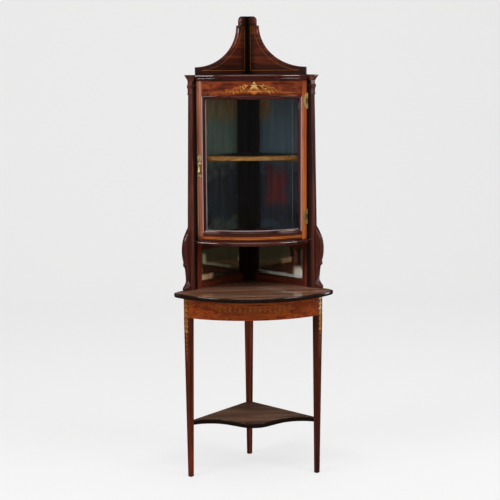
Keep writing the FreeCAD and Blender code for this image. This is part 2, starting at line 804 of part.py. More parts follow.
# ---------------------------------------------------------------- door
def door_stile():
    """The right stile of the door, cut parallel to the wall and lipped behind the glass."""
    stile = bowed(door_back, bow_radius, opening_angle, past_angle, door_z, door_top_z)
    stile = stile.common(between_walls(door_edge, door_z, door_top_z))
    lip = bowed(door_back, lip_radius, lap_angle, opening_angle, opening_foot_z, opening_head_z)
    return stile.fuse(lip).removeSplitter()


def door_rail(z0, z1, lip_z0, lip_z1):
    """A bowed rail of the door with its lip behind the glass."""
    rail = bowed(door_back, bow_radius, -opening_angle, opening_angle, z0, z1)
    lip = bowed(door_back, lip_radius, -lap_angle, lap_angle, lip_z0, lip_z1)
    return rail.fuse(lip).removeSplitter()


def mitre(angle):
    """The part of the opening's border that a side bead fills, out to the mitres at its ends."""
    x0 = -cut_margin
    x1 = bead_width + cut_margin
    y = door_front_y + door_thickness
    corners = [Vector(x0, y, opening_foot_z + x0), Vector(x1, y, opening_foot_z + x1),
               Vector(x1, y, opening_head_z - x1), Vector(x0, y, opening_head_z - x0),
               Vector(x0, y, opening_foot_z + x0)]
    return turned(outline(chain(corners)).extrude(Vector(0, -2.0 * door_thickness, 0)), angle)


def side_bead():
    """The upright bead at the left of the glass."""
    front = bow_radius + bead_proud
    flat_angle = -opening_angle + math.degrees(bead_flat / bow_radius)
    inner = glass_radius + bead_lip
    z = opening_foot_z
    middle = bow_point(inner + bead_fullness * (front - inner), -(opening_angle + bead_angle) / 2.0, z)
    edges = [
        line(bow_point(glass_radius, -opening_angle, z), bow_point(front, -opening_angle, z)),
        bow_arc(front, -opening_angle, flat_angle, z),
        line(bow_point(front, flat_angle, z), middle),
        line(middle, bow_point(inner, -bead_angle, z)),
        line(bow_point(inner, -bead_angle, z), bow_point(glass_radius, -bead_angle, z)),
        bow_arc(glass_radius, -bead_angle, -opening_angle, z),
    ]
    bead = outline(edges).extrude(Vector(0, 0, opening_head_z - z))
    return bead.common(mitre(-opening_angle))


def rail_bead(z, inward):
    """The bead along a rail; inward is +1 above the bottom rail and -1 below the top rail."""
    front = bow_radius + bead_proud
    inner = glass_radius + bead_lip
    flat_z = z + inward * bead_flat
    inner_z = z + inward * bead_width
    middle = ahead(inner + bead_fullness * (front - inner), (z + inner_z) / 2.0)
    profile = chain([ahead(glass_radius, z), ahead(front, z), ahead(front, flat_z), middle,
                     ahead(inner, inner_z), ahead(glass_radius, inner_z), ahead(glass_radius, z)])
    left_mitre = mitre(-opening_angle)
    right_mitre = left_mitre.mirror(Vector(0, 0, 0), Vector(1, 0, 0))
    return bow_moulding(profile, opening_angle).cut([left_mitre, right_mitre])


def write_door():
    """The bowed door: frame, glass, beads and the lock in the left stile."""
    gap_angle = opening_angle - math.degrees(glass_gap / glass_radius)
    stile = door_stile()
    free_stile = stile.mirror(Vector(0, 0, 0), Vector(1, 0, 0))
    write("door_stile_right", stile)
    write("door_stile_left", free_stile.cut([left(lock_pocket()), keyhole()]))
    write("door_top_rail", door_rail(opening_head_z, door_top_z, opening_head_z - glass_lap, opening_head_z))
    write("door_bottom_rail", door_rail(door_z, opening_foot_z, opening_foot_z, opening_foot_z + glass_lap))
    write("door_glass", bowed(lip_radius, glass_radius, -gap_angle, gap_angle,
                              opening_foot_z + glass_gap, opening_head_z - glass_gap))
    bead = side_bead()
    write("bead_left", bead)
    write("bead_right", bead.mirror(Vector(0, 0, 0), Vector(1, 0, 0)))
    write("bead_bottom", rail_bead(opening_foot_z, 1.0))
    write("bead_top", rail_bead(opening_head_z, -1.0))
    write("lock_case", free_stile.common(left(lock_pocket())).cut([left(bolt_channel()), keyhole()]))
    write("lock_bolt", left(bolt(0.0)))


# ---------------------------------------------------------------- lock
def lock_pocket():
    """The room for the lock, cut into the free stile from its edge and back."""
    half = lock_height / 2.0
    return block(door_reach - 2.0 * door_thickness, door_reach - lock_front, door_edge - cut_margin,
                 door_edge + lock_width, lock_z - half, lock_z + half)


def bolt(grow):
    """The lock's bolt, drawn back into the case; grow gives the room round it."""
    half = bolt_height / 2.0 + grow
    front = door_edge + bolt_setback
    return block(door_reach - bolt_front - bolt_thickness - grow, door_reach - bolt_front + grow,
                 front - grow, front + bolt_length + grow, lock_z - half, lock_z + half)


def bolt_channel():
    """The room that the bolt slides in, open at the edge of the door."""
    room = bolt(bolt_clearance)
    return room.fuse(room.translated(Vector(0, -bolt_travel, 0)))


def strike():
    """The mortise in the jamb that the thrown bolt enters."""
    thrown = bolt(strike_clearance)
    return thrown.translated(Vector(0, -bolt_travel, 0))


def keyhole():
    """The bore for the key, through the stile to the lock."""
    start = Vector(0, door_front_y - plate_thickness - cut_margin, lock_z)
    bore = Part.makeCylinder(keyhole_radius, door_thickness, start, Vector(0, 1, 0))
    return turned(bore, plate_angle)


# ---------------------------------------------------------------- hinges
def knuckle_spans(z):
    """The heights of the three knuckles of a hinge, from the lowest up."""
    low = z - hinge_length / 2.0
    length = (hinge_length - 2.0 * knuckle_gap) / 3.0
    return [(low + i * (length + knuckle_gap), low + i * (length + knuckle_gap) + length) for i in range(3)]


def pin_bore(z):
    """The bore through the knuckles."""
    return Part.makeCylinder(hinge_pin_radius + hinge_pin_clearance, 2.0 * hinge_length,
                             Vector(pivot_x, pivot_y, z - hinge_length))


def knuckle(z0, z1):
    """The barrel of one knuckle."""
    return Part.makeCylinder(knuckle_radius, z1 - z0, Vector(pivot_x, pivot_y, z0))


def door_leaf(z):
    """The half-lens leaf on the face of the door, with the upper and lower knuckles."""
    half = hinge_length / 2.0
    edge_angle = corner_angle - math.degrees(leaf_edge / bow_radius)
    y = door_front_y + cut_margin
    low = Vector(-leaf_tip_width, y, z - half)
    high = Vector(-leaf_tip_width, y, z + half)
    lens = chain([high, Vector(0, y, z + half), Vector(0, y, z - half), low])
    lens.append(arc(low, Vector(-leaf_width, y, z), high))
    lens = turned(outline(lens).extrude(Vector(0, -2.0 * knuckle_radius, 0)), edge_angle)
    plate = bowed(bow_radius, bow_radius + leaf_thickness, 0.0, past_angle, z - half, z + half).common(lens)
    spans = knuckle_spans(z)
    web_angle = math.degrees(knuckle_web / 2.0 / bow_radius)
    barrels = []
    for z0, z1 in (spans[0], spans[2]):
        barrels.append(knuckle(z0, z1))
        barrels.append(bowed(bow_radius, pivot_radius, pivot_angle - web_angle, pivot_angle + web_angle, z0, z1))
    return plate.fuse(barrels).removeSplitter().cut(pin_bore(z))


def case_leaf(z):
    """The leaf let into the jamb, in the side frame."""
    half = hinge_length / 2.0
    end = pivot_s + knuckle_web / 2.0
    bed = jamb_face - case_leaf_sink
    return block(end - case_leaf_width, end, bed, bed + case_leaf_thickness, z - half, z + half)


def case_hinge(z):
    """The case half of a hinge: its leaf, the web and the middle knuckle."""
    z0, z1 = knuckle_spans(z)[1]
    web = block(pivot_s - knuckle_web / 2.0, pivot_s + knuckle_web / 2.0, jamb_face, pivot_o, z0, z1)
    half = right(case_leaf(z).fuse(web))
    return half.fuse(knuckle(z0, z1)).removeSplitter().cut(pin_bore(z))


def hinge_pin(z):
    """The pin that the door turns on."""
    length = hinge_length + 2.0 * hinge_pin_tip
    return Part.makeCylinder(hinge_pin_radius, length, Vector(pivot_x, pivot_y, z - length / 2.0))


def write_hinges():
    """The two hinges at the right of the door."""
    write("hinge_door_leaves", group([door_leaf(z) for z in hinge_places]))
    write("hinge_case_leaves", group([case_hinge(z) for z in hinge_places]))
    write("hinge_pins", group([hinge_pin(z) for z in hinge_places]))


# ---------------------------------------------------------------- handle plate and drop pull
def plate_disc(radius, x, z):
    """A round part of the handle plate, drawn straight ahead."""
    start = Vector(x, door_front_y - plate_thickness, z)
    return Part.makeCylinder(radius, plate_thickness, start, Vector(0, 1, 0))


def plate_bar(width, z0, z1):
    """A straight part of the handle plate, drawn straight ahead."""
    start = Vector(-width / 2.0, door_front_y - plate_thickness, z0)
    return Part.makeBox(width, plate_thickness, z1 - z0, start)


def handle_plate():
    """The brass plate: a head with the keyhole, a ring for the pull and a wide tail."""
    tail_z = plate_z + plate_tail_height / 2.0
    tail_x = (plate_tail_width - plate_tail_height) / 2.0
    parts = [
        plate_disc(plate_head_radius, 0, plate_top_z - plate_head_radius),
        plate_bar(plate_head_foot, plate_top_z - plate_head_drop, plate_top_z - plate_head_radius),
        plate_disc(plate_ring_radius, 0, pull_z),
        plate_disc(plate_tail_height / 2.0, -tail_x, tail_z),
        plate_disc(plate_tail_height / 2.0, tail_x, tail_z),
        plate_bar(2.0 * tail_x, plate_z, plate_z + plate_tail_height),
    ]
    plate = plate_bar(plate_neck, tail_z, plate_top_z - plate_head_radius).fuse(parts).removeSplitter()
    holes = [
        plate_disc(keyhole_radius, 0, lock_z),
        plate_bar(keyhole_slot_width, lock_z - keyhole_slot, lock_z),
        plate_disc(plate_hole_radius, 0, (lock_z + plate_top_z) / 2.0),
        plate_disc(plate_hole_radius, 0, tail_z),
    ]
    return turned(plate.cut(holes), plate_angle)


def pull_post():
    """Two ears on the plate and the pin between them."""
    start = pull_eye_thickness / 2.0 + pull_eye_gap
    end = start + pull_ear_thickness
    ears = []
    for x in (start, -end):
        disc = Part.makeCylinder(pull_ear_radius, pull_ear_thickness, Vector(x, pull_y, pull_z),
                                 Vector(1, 0, 0))
        foot = Part.makeBox(pull_ear_thickness, door_front_y - plate_thickness - pull_y, 2.0 * pull_ear_radius,
                            Vector(x, pull_y, pull_z - pull_ear_radius))
        ears += [disc, foot]
    pin = Part.makeCylinder(pull_pin_radius, 2.0 * end, Vector(-end, pull_y, pull_z), Vector(1, 0, 0))
    return turned(pin.fuse(ears).removeSplitter(), plate_angle)


def drop_pull():
    """The pear-shaped drop, fine-faceted and in one with its eye, hanging on the pin."""
    turns = [math.tau * i / drop_facets for i in range(drop_facets + 1)]
    rings = [[Vector(r * math.cos(t), pull_y + r * math.sin(t), pull_z - below) for t in turns]
             for r, below in drop_profile]
    pear = faceted(rings)
    eye = Part.makeCylinder(pull_ear_radius, pull_eye_thickness,
                            Vector(-pull_eye_thickness / 2.0, pull_y, pull_z), Vector(1, 0, 0))
    bore_radius = pull_pin_radius + pull_pin_clearance
    bore = Part.makeCylinder(bore_radius, far, Vector(-far / 2.0, pull_y, pull_z), Vector(1, 0, 0))
    return turned(eye.fuse(pear).removeSplitter().cut(bore), plate_angle)


def write_handle():
    """The handle plate and its drop pull on the left stile of the door."""
    write("handle_plate", handle_plate())
    write("pull_post", pull_post())
    write("drop_pull", drop_pull())


os.makedirs("parts", exist_ok=True)
write_stand()
write_frames()
write_posts()
write_case()
write_interior()
write_door()
write_hinges()
write_handle()
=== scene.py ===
"""Corner curio cabinet, dressed: polished rosewood, boxwood marquetry, bowed glass, mirrors and brass.

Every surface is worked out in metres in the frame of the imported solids: +Z up, +Y from the bowed
front to the room corner. Each class is one sub-assembly of the cabinet. It holds its sizes and
builds, dresses and hangs its own pieces.
"""
import logging
import math
from dataclasses import dataclass, field, replace
from enum import Enum
from typing import Callable, Sequence

import bmesh
import bpy
import numpy as np
from mathutils import Matrix, Vector


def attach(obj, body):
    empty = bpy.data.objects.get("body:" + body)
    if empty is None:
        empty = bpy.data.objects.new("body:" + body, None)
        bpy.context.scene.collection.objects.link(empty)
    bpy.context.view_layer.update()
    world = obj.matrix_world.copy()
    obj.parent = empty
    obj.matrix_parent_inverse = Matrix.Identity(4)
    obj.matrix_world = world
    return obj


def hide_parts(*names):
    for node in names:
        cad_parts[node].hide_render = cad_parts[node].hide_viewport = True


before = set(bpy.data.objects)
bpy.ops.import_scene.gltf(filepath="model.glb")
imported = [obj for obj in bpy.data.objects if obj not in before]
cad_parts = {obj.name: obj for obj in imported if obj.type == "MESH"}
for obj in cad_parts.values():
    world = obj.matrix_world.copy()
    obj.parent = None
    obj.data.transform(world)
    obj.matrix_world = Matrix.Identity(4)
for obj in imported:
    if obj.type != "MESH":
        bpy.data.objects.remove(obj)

LOG = logging.getLogger("cabinet")
Array = np.ndarray
Colour = tuple[float, float, float]
Steps = tuple[int, int, int]
Carrier = Callable[[Array, Array, Array], Array]
Socket = bpy.types.NodeSocket

ROOT2 = math.sqrt(2.0)
QUARTER = math.pi / 2.0  # a quarter turn
FULL = 2.0 * math.pi  # a full turn
WAYS = (-1.0, 1.0)  # to the left and to the right, or down and up
MIRRORED = np.array([-1.0, 1.0])  # turns points in plan into their mirror image
TINY = 1e-12  # keeps a division by a length away from nought
STILL = (0.0, 0.0, 0.0)  # a pattern that is not turned
EVEN = (1.0, 1.0, 1.0)  # and not stretched

# ---------------------------------------------------------------- sizes that sub-assemblies share
ROOM_CORNER_Y = 0.240
TABLE_Z = 0.782  # upper side of the table top
CASE_HEAD_Z = 1.618  # head of the posts, foot of the cornice
POST_INNER = 0.349  # from the room corner along the wall to a post
POST_REACH = 0.3585  # and to the outer face of its head
BOW_RADIUS = 0.400  # front of the door
BOW_AXIS_Y = 0.31506521
DOOR_EDGE_ANGLE = math.asin((0.3387 - 0.0276) / ROOT2 / BOW_RADIUS)
ARRIS = 0.0008  # easing of a sharp edge

# The turn past which an edge stays sharp, in degrees.
BEVELLED, JOINERY, CARVED, TURNED = 1.0, 32.0, 50.0, 60.0


# ---------------------------------------------------------------- places
class Side(Enum):
    """The wall that a piece stands against."""

    LEFT = -1.0
    RIGHT = 1.0

    @property
    def word(self) -> str:
        """The side's name as the nodes spell it."""
        return self.name.lower()


class Body(Enum):
    """The moving body that a piece rides on."""

    CARCASE = "carcase"
    DOOR = "door"
    DROP = "drop_pull"


class Slot(Enum):
    """The material slot that a piece goes under in the part's record."""

    ROSEWOOD = "rosewood"
    DARK_ROSEWOOD = "dark_rosewood"
    TABLE_WOOD = "table_wood"
    BOXWOOD = "boxwood"
    MIRROR = "mirror"
    GLASS = "glass"
    BRASS = "brass"


class Axis(Enum):
    """What a shade is measured along: out from the middle plane, back to the corner, or up."""

    OFF_MIDDLE = 0
    DEPTH = 1
    HEIGHT = 2


class Grain(Enum):
    """The way the grain runs, as the turn that brings it onto the pattern's X axis."""

    ACROSS = (0.0, 0.0, 0.0)
    UPRIGHT = (0.0, QUARTER, 0.0)
    LEFT_WALL = (0.0, 0.0, -QUARTER / 2.0)
    RIGHT_WALL = (0.0, 0.0, QUARTER / 2.0)

    @classmethod
    def along(cls, side: Side) -> "Grain":
        """The grain of a board that lies along a wall."""
        return cls.LEFT_WALL if side is Side.LEFT else cls.RIGHT_WALL


def matched(*values: Array | float) -> Sequence[Array]:
    """The values as arrays of one shape."""
    return np.broadcast_arrays(*(np.asarray(value, float) for value in values))


def pairs(a: Array | float, b: Array | float) -> Array:
    """Two rows of numbers side by side, as points with a last axis of two."""
    return np.stack(matched(a, b), axis=-1)


def circle(turn: Array) -> Array:
    """Points on the unit circle: (cos t, sin t)."""
    return pairs(np.cos(turn), np.sin(turn))


def wall_point(side: Side, s: Array, o: Array, z: Array) -> Array:
    """Points placed from a wall: x = side (s - o) / root 2 and y = corner - (s + o) / root 2.

    Args:
        side: The wall.
        s: Distances along the wall from the room corner.
        o: Distances out from the wall.
        z: Heights.

    Returns:
        The points, with the arrays' own shape and a last axis of three.
    """
    s, o, z = matched(s, o, z)
    return np.stack([side.value * (s - o) / ROOT2, ROOM_CORNER_Y - (s + o) / ROOT2, z], axis=-1)


@dataclass(frozen=True)
class Bow:
    """An upright axis, in the middle plane of the cabinet, that a bowed board bends about."""

    axis_y: float

    def point(self, radius: Array, angle: Array, z: Array) -> Array:
        """Points about the axis: x = r sin a and y = axis - r cos a, a from straight ahead to the right."""
        r, a, z = matched(radius, angle, z)
        return np.stack([r * np.sin(a), self.axis_y - r * np.cos(a), z], axis=-1)

    def meets_wall_offset(self, radius: Array, offset: Array | float) -> Array:
        """The angle at which a circle comes within an offset of a wall.

        A point lies o = (corner - y - |x|) / root 2 out from the wall, so with x and y on the
        circle cos(a + 45 degrees) = (axis - corner + o root 2) / (r root 2).
        """
        reach = self.axis_y - ROOM_CORNER_Y + np.asarray(offset, float) * ROOT2
        return np.arccos(reach / (np.asarray(radius, float) * ROOT2)) - math.pi / 4.0

    def sweep(self, profile: Array, ends: Array | float, steps: int) -> Array:
        """A closed profile of (radius, height) carried round the bow, row u at u times the end angles."""
        u = np.linspace(-1.0, 1.0, steps)[:, None]
        return self.point(profile[None, :, 0], u * np.asarray(ends, float), profile[None, :, 1])

    def between_walls(self, profile: Array, offset: Array | float, steps: int) -> Array:
        """A profile carried round the bow, each point as far as its own offset from the walls."""
        return self.sweep(profile, self.meets_wall_offset(profile[:, 0], offset), steps)


FRONT = Bow(BOW_AXIS_Y)


# ---------------------------------------------------------------- surfaces
@dataclass
class Skin:
    """A closed surface in the making: its corners, and its faces as rings of corner numbers."""

    corners: Array
    faces: list[list[int]]

    @classmethod
    def tube(cls, rings: Array, looped: bool = False) -> "Skin":
        """A skin over rings of points: corner (u, v) joins (u, v + 1), (u + 1, v + 1) and (u + 1, v).

        Args:
            rings: The points, (rows, points round, 3).
            looped: Whether the last row joins the first; otherwise both ends get a cap.
        """
        rows, around = rings.shape[:2]
        u = np.arange(rows if looped else rows - 1)[:, None]
        v = np.arange(around)[None, :]
        row, next_row, next_v = u * around, (u + 1) % rows * around, (v + 1) % around
        quads = np.stack([row + v, row + next_v, next_row + next_v, next_row + v], axis=-1)
        faces = quads.reshape(-1, 4).tolist()
        if not looped:
            faces.append(list(range(around))[::-1])
            faces.append(list(range((rows - 1) * around, rows * around)))
        return cls(rings.reshape(-1, 3), faces)

    @classmethod
    def plate(cls, front: Array, back: Array) -> "Skin":
        """A closed plate between two grids of points, both (rows, columns, 3)."""
        return cls.tube(np.concatenate([front, back[:, ::-1]], axis=1))

    @classmethod
    def joined(cls, skins: Sequence["Skin"]) -> "Skin":
        """Several skins as one: each keeps its faces, its corner numbers moved past those before it."""
        starts = np.cumsum([0] + [len(skin.corners) for skin in skins[:-1]])
        faces = [[n + int(start) for n in face] for skin, start in zip(skins, starts) for face in skin.faces]
        return cls(np.concatenate([skin.corners for skin in skins]), faces)


def mark_creases(mesh: bpy.types.Mesh, crease: float) -> None:
    """Marks the edges where light breaks, so that flat faces stay flat beside their rounded edges.

    An edge is marked where its two faces turn by more than the crease, or by more than one degree
    where one face is over twenty times as large as the other.
    """
    edge_of = np.empty(len(mesh.loops), np.int32)
    corners = np.empty(len(mesh.polygons), np.int32)
    area = np.empty(len(mesh.polygons), np.float32)
    normal = np.empty((len(mesh.polygons), 3), np.float32)
    mesh.loops.foreach_get("edge_index", edge_of)
    mesh.polygons.foreach_get("loop_total", corners)
    mesh.polygons.foreach_get("area", area)
    mesh.polygons.foreach_get("normal", normal.ravel())
    order = np.argsort(edge_of, kind="stable")
    face = np.repeat(np.arange(len(corners)), corners)[order]
    first = np.flatnonzero(np.diff(edge_of[order], prepend=-1))
    last = np.append(first[1:], len(order)) - 1
    a, b = face[first], face[last]
    turn = np.arccos(np.clip(np.sum(normal[a] * normal[b], axis=1), -1.0, 1.0))
    far_larger, slight = 20.0, math.radians(1.0)
    uneven = np.maximum(area[a], area[b]) > far_larger * np.minimum(area[a], area[b])
    sharp = (turn > crease) | (uneven & (turn > slight))
    mesh.attributes.new("sharp_edge", "BOOLEAN", "EDGE").data.foreach_set("value", sharp)


@dataclass(frozen=True)
class Piece:
    """How one finished piece is hung: its name, finish, body and the solids that it stands for."""

    name: str
    finish: bpy.types.Material
    slot: Slot
    body: Body = Body.CARCASE
    nodes: tuple[str, ...] = ()
    crease: float = JOINERY

    @classmethod
    def of(cls, node: str, finish: bpy.types.Material, slot: Slot, body: Body = Body.CARCASE,
           crease: float = JOINERY) -> "Piece":
        """The piece that stands for one solid, under the solid's name."""
        return cls(f"dressed_{node}", finish, slot, body, (node,), crease)

    def build(self, skin: Skin) -> None:
        """Makes the object from its skin, at the origin, and hangs it on its body."""
        mesh = bpy.data.meshes.new(self.name)
        mesh.from_pydata(skin.corners.tolist(), [], skin.faces)
        work = bmesh.new()
        work.from_mesh(mesh)
        bmesh.ops.remove_doubles(work, verts=work.verts, dist=1e-7)
        bmesh.ops.recalc_face_normals(work, faces=work.faces)
        work.to_mesh(mesh)
        work.free()
        mesh.shade_smooth()
        mark_creases(mesh, math.radians(self.crease))
        mesh.materials.append(self.finish)
        thing = bpy.data.objects.new(self.name, mesh)
        bpy.context.scene.collection.objects.link(thing)
        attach(thing, self.body.value)
        if self.nodes:
            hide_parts(*self.nodes)
        LOG.info("%s: %d faces on %s", self.name, len(mesh.polygons), self.body.value)


def paint(nodes: Sequence[str], finish: bpy.types.Material) -> None:
    """Gives solids that stay as they are their finish."""
    for node in nodes:
        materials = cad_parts[node].data.materials
        materials.clear()
        materials.append(finish)
        LOG.info("%s: finished as %s", node, finish.name)


def eased_box(low: tuple[float, float], high: tuple[float, float], ease: float) -> Array:
    """The outline of a rectangle whose four corners are quarter circles of radius ease.

    Args:
        low: The low corner.
        high: The high corner.
        ease: The corners' radius.

    Returns:
        Twelve points, counter-clockwise.
    """
    (x0, y0), (x1, y1) = (low[0] + ease, low[1] + ease), (high[0] - ease, high[1] - ease)
    middles = np.array([[x1, y0], [x1, y1], [x0, y1], [x0, y0]])
    turn = np.radians([-90.0, -45.0, 0.0])[None, :] + np.radians([0.0, 90.0, 180.0, 270.0])[:, None]
    return (middles[:, None, :] + ease * circle(turn)).reshape(-1, 2)


def arc_through(a: Sequence[float], b: Sequence[float], c: Sequence[float], steps: int) -> Array:
    """Points on the circle from a to c through b: centre plus radius (cos t, sin t), t even between the ends.

    Args:
        a: The first point.
        b: A point between.
        c: The last point.
        steps: How many points.

    Returns:
        The points, (steps, 2).
    """
    a, b, c = (np.asarray(p, float) for p in (a, b, c))
    centre = np.linalg.solve(2.0 * np.stack([b - a, c - a]), np.array([b @ b - a @ a, c @ c - a @ a]))
    turns = np.unwrap([math.atan2(*(p - centre)[::-1]) for p in (a, b, c)])
    return centre + np.linalg.norm(a - centre) * circle(np.linspace(turns[0], turns[2], steps))


def spokes(east: Array, north: Array, steps: int) -> Array:
    """Directions even round a circle: cos t of the east plus sin t of the north."""
    t = np.linspace(0.0, FULL, steps, endpoint=False)
    return np.cos(t)[:, None] * east + np.sin(t)[:, None] * north


def lathe(profile: Array, centre: Sequence[float], axis: Sequence[float], steps: int) -> Skin:
    """A turned form: profile rows (radius, along) carried round an axis.

    Args:
        profile: Radius and place along the axis of each ring.
        centre: The axis' start.
        axis: The axis' direction.
        steps: Points round each ring.
    """
    along = np.asarray(axis, float) / np.linalg.norm(axis)
    helper = np.array([0.0, 0.0, 1.0]) if abs(along[2]) < 0.9 else np.array([1.0, 0.0, 0.0])
    east = np.cross(helper, along)
    east /= np.linalg.norm(east)
    ring = spokes(east, np.cross(along, east), steps)
    radius, height = profile[:, None, :1], profile[:, None, 1:]
    return Skin.tube(np.asarray(centre, float) + radius * ring[None] + height * along)


# ---------------------------------------------------------------- inlay
@dataclass
class Inlay:
    """Thin shapes let into a surface, each a ribbon about a line of its own."""

    carrier: Carrier
    proud: float = 0.00015
    sunk: float = 0.0006
    finest: float = 0.00004
    skins: list[Skin] = field(default_factory=list)

    def ribbon(self, path: Array, half_width: Array | float) -> None:
        """Lays a ribbon: each side is the path moved half a width along its own normal.

        Args:
            path: The middle line on the surface, in metres, (points, 2).
            half_width: Half the width at each point, or one for all.
        """
        heading = np.gradient(path, axis=0)
        heading /= np.linalg.norm(heading, axis=1, keepdims=True) + TINY
        reach = pairs(-heading[:, 1], heading[:, 0]) * np.broadcast_to(half_width, len(path))[:, None]
        edges = np.stack([path + reach, path + reach, path - reach, path - reach], axis=1)
        heights = np.array([-self.sunk, self.proud, self.proud, -self.sunk])[None, :]
        self.skins.append(Skin.tube(self.carrier(edges[..., 0], edges[..., 1], heights)))

    def line(self, points: Sequence[Sequence[float]], width: float, steps: int = 24) -> None:
        """Lays a line of even width through straight runs, each run cut into short steps.

        Args:
            points: The ends of the runs.
            width: The line's width.
            steps: Points along each run.
        """
        for a, b in zip(points, points[1:]):
            t = np.linspace(0.0, 1.0, steps)[:, None]
            self.ribbon(np.asarray(a, float) * (1.0 - t) + np.asarray(b, float) * t, width / 2.0)

    def leaf(self, foot: Sequence[float], tip: Sequence[float], width: float, bend: float = 0.0) -> None:
        """Lays a pointed leaf: its middle line bows by bend, and its width goes as sin(pi t) to the 0.8.

        Args:
            foot: Where the leaf starts.
            tip: Where it ends.
            width: Its widest.
            bend: How far its middle stands off the straight line.
        """
        foot, tip = np.asarray(foot, float), np.asarray(tip, float)
        t = np.linspace(0.0, 1.0, 13)[:, None]
        run = tip - foot
        across = np.array([-run[1], run[0]]) / (np.linalg.norm(run) + TINY)
        path = foot + run * t + across * bend * np.sin(math.pi * t)
        self.ribbon(path, np.maximum(width / 2.0 * np.sin(math.pi * t[:, 0]) ** 0.8, self.finest))

    def dot(self, centre: Sequence[float], radius: float) -> None:
        """Lays a round spot: half widths go as the root of r squared less x squared."""
        x = np.linspace(-0.999, 0.999, 13)
        self.ribbon(np.asarray(centre, float) + pairs(x * radius, 0.0), radius * np.sqrt(1.0 - x ** 2))

    def scroll(self, start: Sequence[float], radius: float, turns: float, facing: float,
               width: float) -> None:
        """Lays a spiral whose radius shrinks evenly to a fifth, and whose width shrinks with it.

        Args:
            start: Where the spiral begins.
            radius: Its first radius.
            turns: How many turns, minus to wind the other way.
            facing: The direction from the centre to the start, in radians.
            width: Its first width.
        """
        t = np.linspace(0.0, 1.0, 40)
        centre = np.asarray(start, float) - radius * np.array([math.cos(facing), math.sin(facing)])
        reach = radius * (1.0 - 0.8 * t)
        path = centre + reach[:, None] * circle(facing + FULL * turns * t)
        self.ribbon(path, width / 2.0 * (1.0 - 0.5 * t))

    def skin(self) -> Skin:
        """All the shapes as one skin."""
        return Skin.joined(self.skins)


def bow_carrier(bow: Bow, radius: float) -> Carrier:
    """The front of a bowed board: (u, z, h) is u along the arc from the middle, z up, h out."""
    return lambda u, z, h: bow.point(radius + h, u / radius, z + 0.0 * h)


def wall_carrier(side: Side, out: float) -> Carrier:
    """A face parallel to a wall: (s, z, h) is s along the wall, z up, h out from the wall."""
    return lambda s, z, h: wall_point(side, s, out + h, z + 0.0 * h)


# ---------------------------------------------------------------- finishes
def linear(*steps: int) -> Colour:
    """A colour as the light it stands for: c / 12.92, or ((c + 0.055) / 1.055) to the 2.4.

    Returns:
        The three shares of light.
    """
    c = np.array(steps) / 255.0
    light = np.where(c <= 0.04045, c / 12.92, ((c + 0.055) / 1.055) ** 2.4)
    return tuple(float(share) for share in light)


